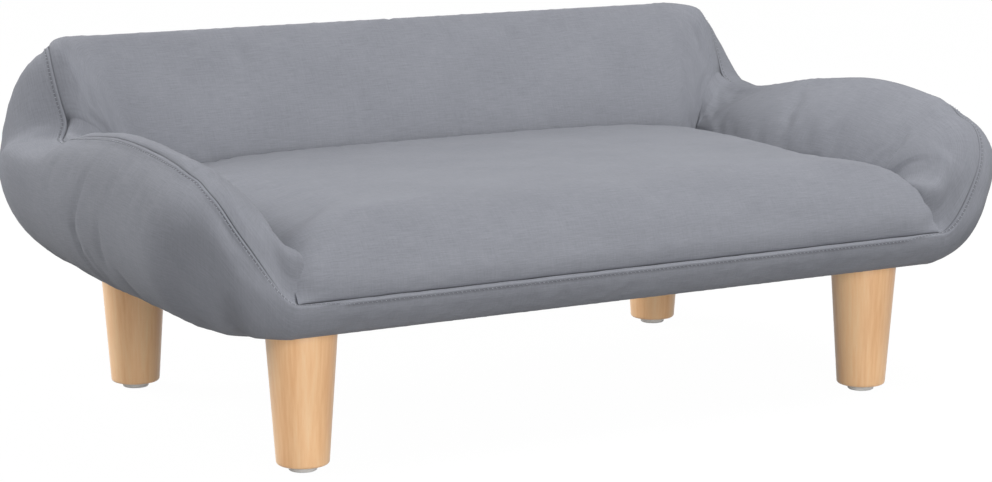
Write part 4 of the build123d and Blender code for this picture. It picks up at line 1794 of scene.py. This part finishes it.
class Repeater:
    """A Geometry Nodes tree that lays a small bar along curves at an even pitch."""

    SMALLEST = 0.9
    LARGEST = 1.06
    CUBE_POINTS = 3
    FLOAT_OUTPUT = 1

    def __init__(self, name: str) -> None:
        """Builds the tree.

        Args:
            name: The tree's name.
        """
        self.tree = bpy.data.node_groups.new(name, "GeometryNodeTree")
        face = self.tree.interface
        face.new_socket("Geometry", in_out="INPUT", socket_type="NodeSocketGeometry")
        kinds = {"Pitch": "Float", "Length": "Float", "Width": "Float", "Height": "Float", "Seed": "Int"}
        kinds["Finish"] = "Material"
        self.ids = {}
        for label, kind in kinds.items():
            socket = face.new_socket(label, in_out="INPUT", socket_type=f"NodeSocket{kind}")
            self.ids[label] = socket.identifier
        face.new_socket("Geometry", in_out="OUTPUT", socket_type="NodeSocketGeometry")
        given = self._add("NodeGroupInput", {}, {})
        line = {"Curve": given["Geometry"], "Length": given["Pitch"]}
        spread = self._add("GeometryNodeCurveToPoints", {"mode": "LENGTH"}, line)
        sizes = {"X": given["Length"], "Y": given["Width"], "Z": given["Height"]}
        size = self._add("ShaderNodeCombineXYZ", {}, sizes)
        bar = self._add("GeometryNodeMeshCube", {}, {"Vertices X": self.CUBE_POINTS, "Size": size[0]})
        soft = self._add("GeometryNodeSubdivisionSurface", {}, {"Level": 1, "Mesh": bar["Mesh"]})
        limits = {"Min": self.SMALLEST, "Max": self.LARGEST, "Seed": given["Seed"]}
        vary = self._add("FunctionNodeRandomValue", {"data_type": "FLOAT"}, limits)
        bars = {"Points": spread["Points"], "Rotation": spread["Rotation"]}
        bars |= {"Instance": soft["Mesh"], "Scale": vary[self.FLOAT_OUTPUT]}
        place = self._add("GeometryNodeInstanceOnPoints", {}, bars)
        real = self._add("GeometryNodeRealizeInstances", {}, {"Geometry": place["Instances"]})
        smooth = self._add("GeometryNodeSetShadeSmooth", {}, {"Geometry": real["Geometry"]})
        worn = {"Geometry": smooth["Geometry"], "Material": given["Finish"]}
        finish = self._add("GeometryNodeSetMaterial", {}, worn)
        self._add("NodeGroupOutput", {}, {"Geometry": finish["Geometry"]})

    def _add(self, kind: str, settings: dict, inputs: dict) -> bpy.types.bpy_prop_collection:
        """Adds a node.

        Args:
            kind: The node's type.
            settings: Its own settings.
            inputs: Values or sockets for its inputs, by name.

        Returns:
            The node's outputs.
        """
        node = self.tree.nodes.new(kind)
        for name, value in settings.items():
            setattr(node, name, value)
        for name, value in inputs.items():
            if isinstance(value, bpy.types.NodeSocket):
                self.tree.links.new(value, node.inputs[name])
            else:
                node.inputs[name].default_value = value
        return node.outputs

    def lay(
        self, name: str, runs: list[np.ndarray], bar: Bar, finish: bpy.types.Material
    ) -> bpy.types.Object:
        """Lays the bar along runs of points.

        Args:
            name: The piece's name.
            runs: Lines of points in the frame.
            bar: The bar's spacing, sizes and seed.
            finish: The material.

        Returns:
            The plain mesh object.
        """
        curve = bpy.data.curves.new(name, "CURVE")
        curve.dimensions = "3D"
        for run in runs:
            spline = curve.splines.new("POLY")
            spline.points.add(len(run) - 1)
            for point, place in zip(spline.points, run):
                point.co = (*place, 1.0)
        guide = add_object(f"{name}_guide", curve)
        modifier = guide.modifiers.new("repeat", "NODES")
        modifier.node_group = self.tree
        for label, value in asdict(bar).items():
            modifier[self.ids[label.capitalize()]] = value
        modifier[self.ids["Finish"]] = finish
        graph = bpy.context.evaluated_depsgraph_get()
        graph.update()
        mesh = bpy.data.meshes.new_from_object(guide.evaluated_get(graph), depsgraph=graph)
        mesh.name = name
        guide.modifiers.remove(modifier)
        bpy.data.objects.remove(guide)
        bpy.data.curves.remove(curve)
        return add_object(name, mesh)


@dataclass(frozen=True)
class Stitching:
    """Topstitch beside the seams of the arms, the backrest's ends and the front."""

    bar: Bar = Bar(pitch=3.4 * MM, length=2.5 * MM, width=0.55 * MM, height=0.5 * MM, seed=5)
    from_heading: float = 118.0
    front_share: float = 0.995
    front_points: int = 60

    def build(
        self, run: WallRun, welt: Welt, repeater: Repeater, finish: bpy.types.Material
    ) -> bpy.types.Object:
        """Makes all stitches as one piece.

        Args:
            run: The wall's sections.
            welt: The seam's relief, which says where the stitches lie.
            repeater: What lays them.
            finish: The thread's material.

        Returns:
            The piece.
        """
        shape = run.shape
        numbers = np.flatnonzero(run.heading >= self.from_heading)
        places = {k: welt.stitch_place(run.outer_line(k)[0]) for k in numbers}
        runs = [np.vstack([run.stand(k, side).place(places[k]) for k in numbers]) for side in Side]
        last, _ = run.outer_line(len(run.travel) - 1)
        front = []
        for share in np.linspace(-self.front_share, self.front_share, self.front_points):
            place = welt.at_front(share, shape.front_half).stitch_place(last)
            front.append(shape.front_stand(share).place(place))
        return repeater.lay("seam_stitching", [*runs, np.vstack(front)], self.bar, finish)


@dataclass(frozen=True)
class Underside:
    """The dust cloth under the board and the staples that hold it."""

    SEED = 41

    half_length: float = 268.06 * MM
    half_depth: float = 174 * MM
    corner: float = 30 * MM
    corner_chords: int = 8
    side_chords: tuple = (30, 20)
    bottom: float = 100 * MM
    thickness: float = 0.65 * MM
    rings: int = 22
    middle_share: float = 0.04
    slack: float = 0.12 * MM
    slack_pitch: float = 17 * MM
    staple: Bar = Bar(pitch=27 * MM, length=10 * MM, width=1.2 * MM, height=0.7 * MM, seed=7)
    staple_inset: float = 9 * MM
    staple_sunk: float = 0.1 * MM
    leg_x: float = 239.06 * MM
    leg_y: float = 145 * MM
    leg_clear: float = 36 * MM

    def _outline(self) -> np.ndarray:
        """The cloth's rounded outline in plan.

        Returns:
            Its points, from the right end round by the back.
        """
        radius = self.corner
        x, y = self.half_length - radius, self.half_depth - radius
        square = 90.0
        quarter = np.linspace(0.0, square, self.corner_chords + 1)
        centres = np.array([(x, y), (-x, y), (-x, -y), (x, -y)])
        bends = [centre + radius * towards(quarter + square * k) for k, centre in enumerate(centres)]
        points = []
        for k, bend in enumerate(bends):
            chords = self.side_chords[k % 2]
            points += [bend, np.linspace(bend[-1], bends[(k + 1) % len(bends)][0], chords + 1)[1:-1]]
        return np.vstack(points)

    def cloth(self) -> bpy.types.Object:
        """The thin cloth, slightly slack between its staples.

        Returns:
            The piece.
        """
        outline = self._outline()
        loops = []
        for share in np.linspace(1.0, self.middle_share, self.rings):
            ring = outline * share
            ripple = value_noise(self.SEED, ring[:, 0] + self.half_length, self.slack_pitch)
            loops.append(np.column_stack([ring, self.bottom + self.slack * (1 - share) * np.abs(ripple)]))
        top = [loop + np.array([0, 0, self.thickness]) for loop in loops]
        points = np.array(top[::-1] + loops)
        plain = np.zeros(points.shape[:2])
        return Lattice(points, points[:, :, :2], plain, plain).build("bottom_cloth")

    def staples(self, repeater: Repeater, finish: bpy.types.Material) -> bpy.types.Object:
        """The staples between the legs.

        Args:
            repeater: What lays them.
            finish: The metal's material.

        Returns:
            The piece.
        """
        x, y = self.half_length - self.staple_inset, self.half_depth - self.staple_inset
        z = self.bottom - self.staple.height / 2 + self.staple_sunk
        end_x, end_y = self.leg_x - self.leg_clear, self.leg_y - self.leg_clear
        runs = [np.array([(-end_x, side * y, z), (end_x, side * y, z)]) for side in (-1, 1)]
        runs += [np.array([(side * x, -end_y, z), (side * x, end_y, z)]) for side in (-1, 1)]
        return repeater.lay("cloth_staples", runs, self.staple, finish)


# Legs


class Row(IntEnum):
    """The two rows of legs; the value is the sign of y."""

    FRONT = -1
    REAR = 1


@dataclass(frozen=True)
class TurnedLeg:
    """A tapered round leg with a plastic glide under it."""

    x: float = 239.06 * MM
    y: float = 145 * MM
    top: float = 100 * MM
    top_radius: float = 25 * MM
    bottom_radius: float = 18.5 * MM
    top_bevel: float = 1.0 * MM
    bottom_bevel: float = 2.2 * MM
    glide_radius: float = 10 * MM
    glide_height: float = 4.6 * MM
    glide_bevel: float = 1.4 * MM
    glide_edge: float = 0.3 * MM
    middle_share: float = 0.5
    segments: int = 96
    cuts: int = 12
    bottom_chords: int = 4
    top_chords: int = 3

    def _foot(self, radius: float, z: float, bevel: float) -> list[tuple]:
        """Profile of a lower end, from the axis out and up round its edge.

        Args:
            radius: The end's radius.
            z: Its height.
            bevel: Radius of its rounded edge.

        Returns:
            Radius and height of each point.
        """
        turns = [pi / 2 * k / self.bottom_chords for k in range(self.bottom_chords + 1)]
        bend = [(radius - bevel * (1 - sin(turn)), z + bevel * (1 - cos(turn))) for turn in turns]
        return [(0.0, z), (radius * self.middle_share, z), *bend]

    def wood(self, name: str, centre: tuple) -> bpy.types.Object:
        """The turned wood, its ends rounded over.

        Args:
            name: The piece's name.
            centre: Its axis in plan.

        Returns:
            The piece.
        """
        profile = self._foot(self.bottom_radius, self.glide_height, self.bottom_bevel)
        low, high = self.glide_height + self.bottom_bevel, self.top - self.top_bevel
        for share in np.arange(1, self.cuts) / self.cuts:
            radius = self.bottom_radius + (self.top_radius - self.bottom_radius) * share
            profile.append((radius, low + (high - low) * share))
        for turn in [pi / 2 * k / self.top_chords for k in range(self.top_chords + 1)]:
            radius = self.top_radius - self.top_bevel * (1 - cos(turn))
            profile.append((radius, high + self.top_bevel * sin(turn)))
        profile += [(self.top_radius * self.middle_share, self.top), (0.0, self.top)]
        return lathe(name, profile, centre, self.segments)

    def glide(self, name: str, centre: tuple) -> bpy.types.Object:
        """The glide under the wood.

        Args:
            name: The piece's name.
            centre: Its axis in plan.

        Returns:
            The piece.
        """
        radius, height, edge = self.glide_radius, self.glide_height, self.glide_edge
        profile = self._foot(radius, 0.0, self.glide_bevel)
        profile += [(radius, height - edge), (radius - edge, height), (0.0, height)]
        return lathe(name, profile, centre, self.segments // 2)

    def build(self, finishes: Finishes) -> None:
        """Makes and dresses the four legs and glides.

        Args:
            finishes: The sofa's finishes.
        """
        for row in Row:
            for side in Side:
                centre = (-side * self.x, row * self.y)
                row_name = row.name.lower()
                wood = self.wood(f"leg_{row_name}_{side.label}", centre)
                dress(wood, finishes.wood, Slot.LEG_WOOD, f"{row_name}_legs")
                glide = self.glide(f"glide_{row_name}_{side.label}", centre)
                dress(glide, finishes.glide, Slot.GLIDE, "leg_glides")


# Camera, floor and light


@dataclass(frozen=True)
class Lamp:
    """A soft square lamp: where it stands, the point that it faces, its side and its power in watts."""

    name: str
    place: tuple
    aim: tuple
    size: float
    power: float

    def hang(self) -> None:
        """Puts the lamp in the scene."""
        data = bpy.data.lights.new(self.name, "AREA")
        data.shape = "SQUARE"
        data.size = self.size
        data.energy = self.power
        lamp = add_object(self.name, data)
        lamp.location = self.place
        lamp.rotation_euler = (Vector(self.aim) - Vector(self.place)).to_track_quat("-Z", "Y").to_euler()


@dataclass(frozen=True)
class Studio:
    """The photograph's camera, a pale floor and soft light.

    The lens and its sensor are in millimetres, pitch_down is in radians and yaw in degrees.
    """

    eye: tuple = (-1.0533, -1.7985, 0.4918)
    pitch_down: float = 0.1791
    yaw: float = 30.3265
    lens: float = 100.57
    sensor: float = 36.0
    sight: float = 100.0
    floor_size: float = 12.0
    room_light: float = 0.13
    lamps: tuple = (
        Lamp("key_lamp", (0.8, -0.85, 2.4), (0.0, 0.0, 0.15), 1.0, 60.0),
        Lamp("front_lamp", (-0.7, -2.5, 0.5), (0.0, 0.0, 0.1), 1.2, 37.0),
        Lamp("rim_lamp", (-1.7, 1.7, 1.3), (0.0, 0.0, 0.2), 1.2, 57.0),
    )

    def camera(self) -> None:
        """Places the camera."""
        data = bpy.data.cameras.new("photo_camera")
        data.lens = self.lens
        data.sensor_width = self.sensor
        data.sensor_fit = "HORIZONTAL"
        data.clip_end = self.sight
        camera = add_object("photo_camera", data)
        camera.location = self.eye
        camera.rotation_euler = (pi / 2 - self.pitch_down, 0.0, -radians(self.yaw))
        bpy.context.scene.camera = camera

    def floor(self, finish: bpy.types.Material) -> None:
        """Lays the floor.

        Args:
            finish: The floor's material.
        """
        half = self.floor_size / 2
        corners = [(-half, -half, 0), (half, -half, 0), (half, half, 0), (-half, half, 0)]
        mesh = bpy.data.meshes.new("studio_floor")
        mesh.from_pydata(corners, [], [(0, 1, 2, 3)])
        mesh.materials.append(finish)
        add_object("studio_floor", mesh)

    def light(self) -> None:
        """Hangs the lamps and sets the surroundings, white to the camera and dim to the pieces."""
        for lamp in self.lamps:
            lamp.hang()
        world = bpy.data.worlds.new("studio_world")
        bpy.context.scene.world = world
        world.use_nodes = True
        shop = NodeShop(world.node_tree, "ShaderNodeOutputWorld")
        room, white = (
            shop.node("ShaderNodeBackground", {}, {"Color": WHITE, "Strength": strength})
            for strength in (self.room_light, 1.0)
        )
        shop.show(shop.node("ShaderNodeMixShader", {}, {0: shop.seen(), 1: room, 2: white}))
        bpy.context.scene.view_settings.view_transform = "Standard"


# The sofa


class DogSofa:
    """Builds every piece of the sofa and dresses it."""

    PLYWOOD = (
        "base_board", "back_panel", "side_panel_left", "side_panel_right", "side_blocks_left",
        "side_blocks_right", "back_blocks",
    )
    ZINC = ("tee_nuts", "hanger_bolts")

    def __init__(self) -> None:
        """Reads the shape and builds the finishes."""
        self.finishes = Finishes()
        self.run = WallRun(WallShape())
        self.welt = Welt()

    def upholstery(self) -> None:
        """Builds, swells and dresses the padded pieces."""
        shells = OuterShells(self.run, self.welt, ShellCut())
        pads = WallPads(self.run, self.welt, PadCut())
        pieces = [
            (shells.back(), ("outer_back_cover",)),
            *((shells.side(side), (f"outer_side_cover_{side.label}",)) for side in Side),
            (shells.border(), ("front_band",)),
            (pads.backrest(), ("inner_back_cover", "back_foam")),
            *((pads.arm(side), (f"arm_cover_{side.label}", f"arm_foam_{side.label}")) for side in Side),
            (SeatPad().build(self.run, self.welt), ("seat_cover", "seat_foam")),
        ]
        Loft().swell([piece for piece, _ in pieces])
        for piece, nodes in pieces:
            dress(piece, self.finishes.linen, Slot.LINEN, *nodes)

    def sewing(self) -> None:
        """Builds the stitches, the dust cloth and its staples."""
        repeater = Repeater("lay_along_curve")
        thread = Stitching().build(self.run, self.welt, repeater, self.finishes.thread)
        dress(thread, self.finishes.thread, Slot.LINEN)
        underside = Underside()
        cloth = underside.cloth()
        dress(cloth, self.finishes.dust_cloth, Slot.DUST_CLOTH, "dust_cover")
        staples = underside.staples(repeater, self.finishes.zinc)
        dress(staples, self.finishes.zinc, Slot.ZINC)

    def carcass(self) -> None:
        """Gives the carried-over nodes their finish."""
        for names, material in ((self.PLYWOOD, self.finishes.plywood), (self.ZINC, self.finishes.zinc)):
            for name in names:
                obj = frame["nodes"][name]
                for held in obj.material_slots:
                    held.material = material
                if not obj.material_slots:
                    obj.data.materials.append(material)
                log.info("%s carried over", name)


def main() -> None:
    """Builds the studio and the sofa."""
    logging.basicConfig(level=logging.INFO, format="%(name)s %(message)s")
    sofa = DogSofa()
    studio = Studio()
    studio.camera()
    studio.floor(sofa.finishes.floor)
    studio.light()
    sofa.carcass()
    TurnedLeg().build(sofa.finishes)
    sofa.upholstery()
    sofa.sewing()


if __name__ == "__main__":
    main()
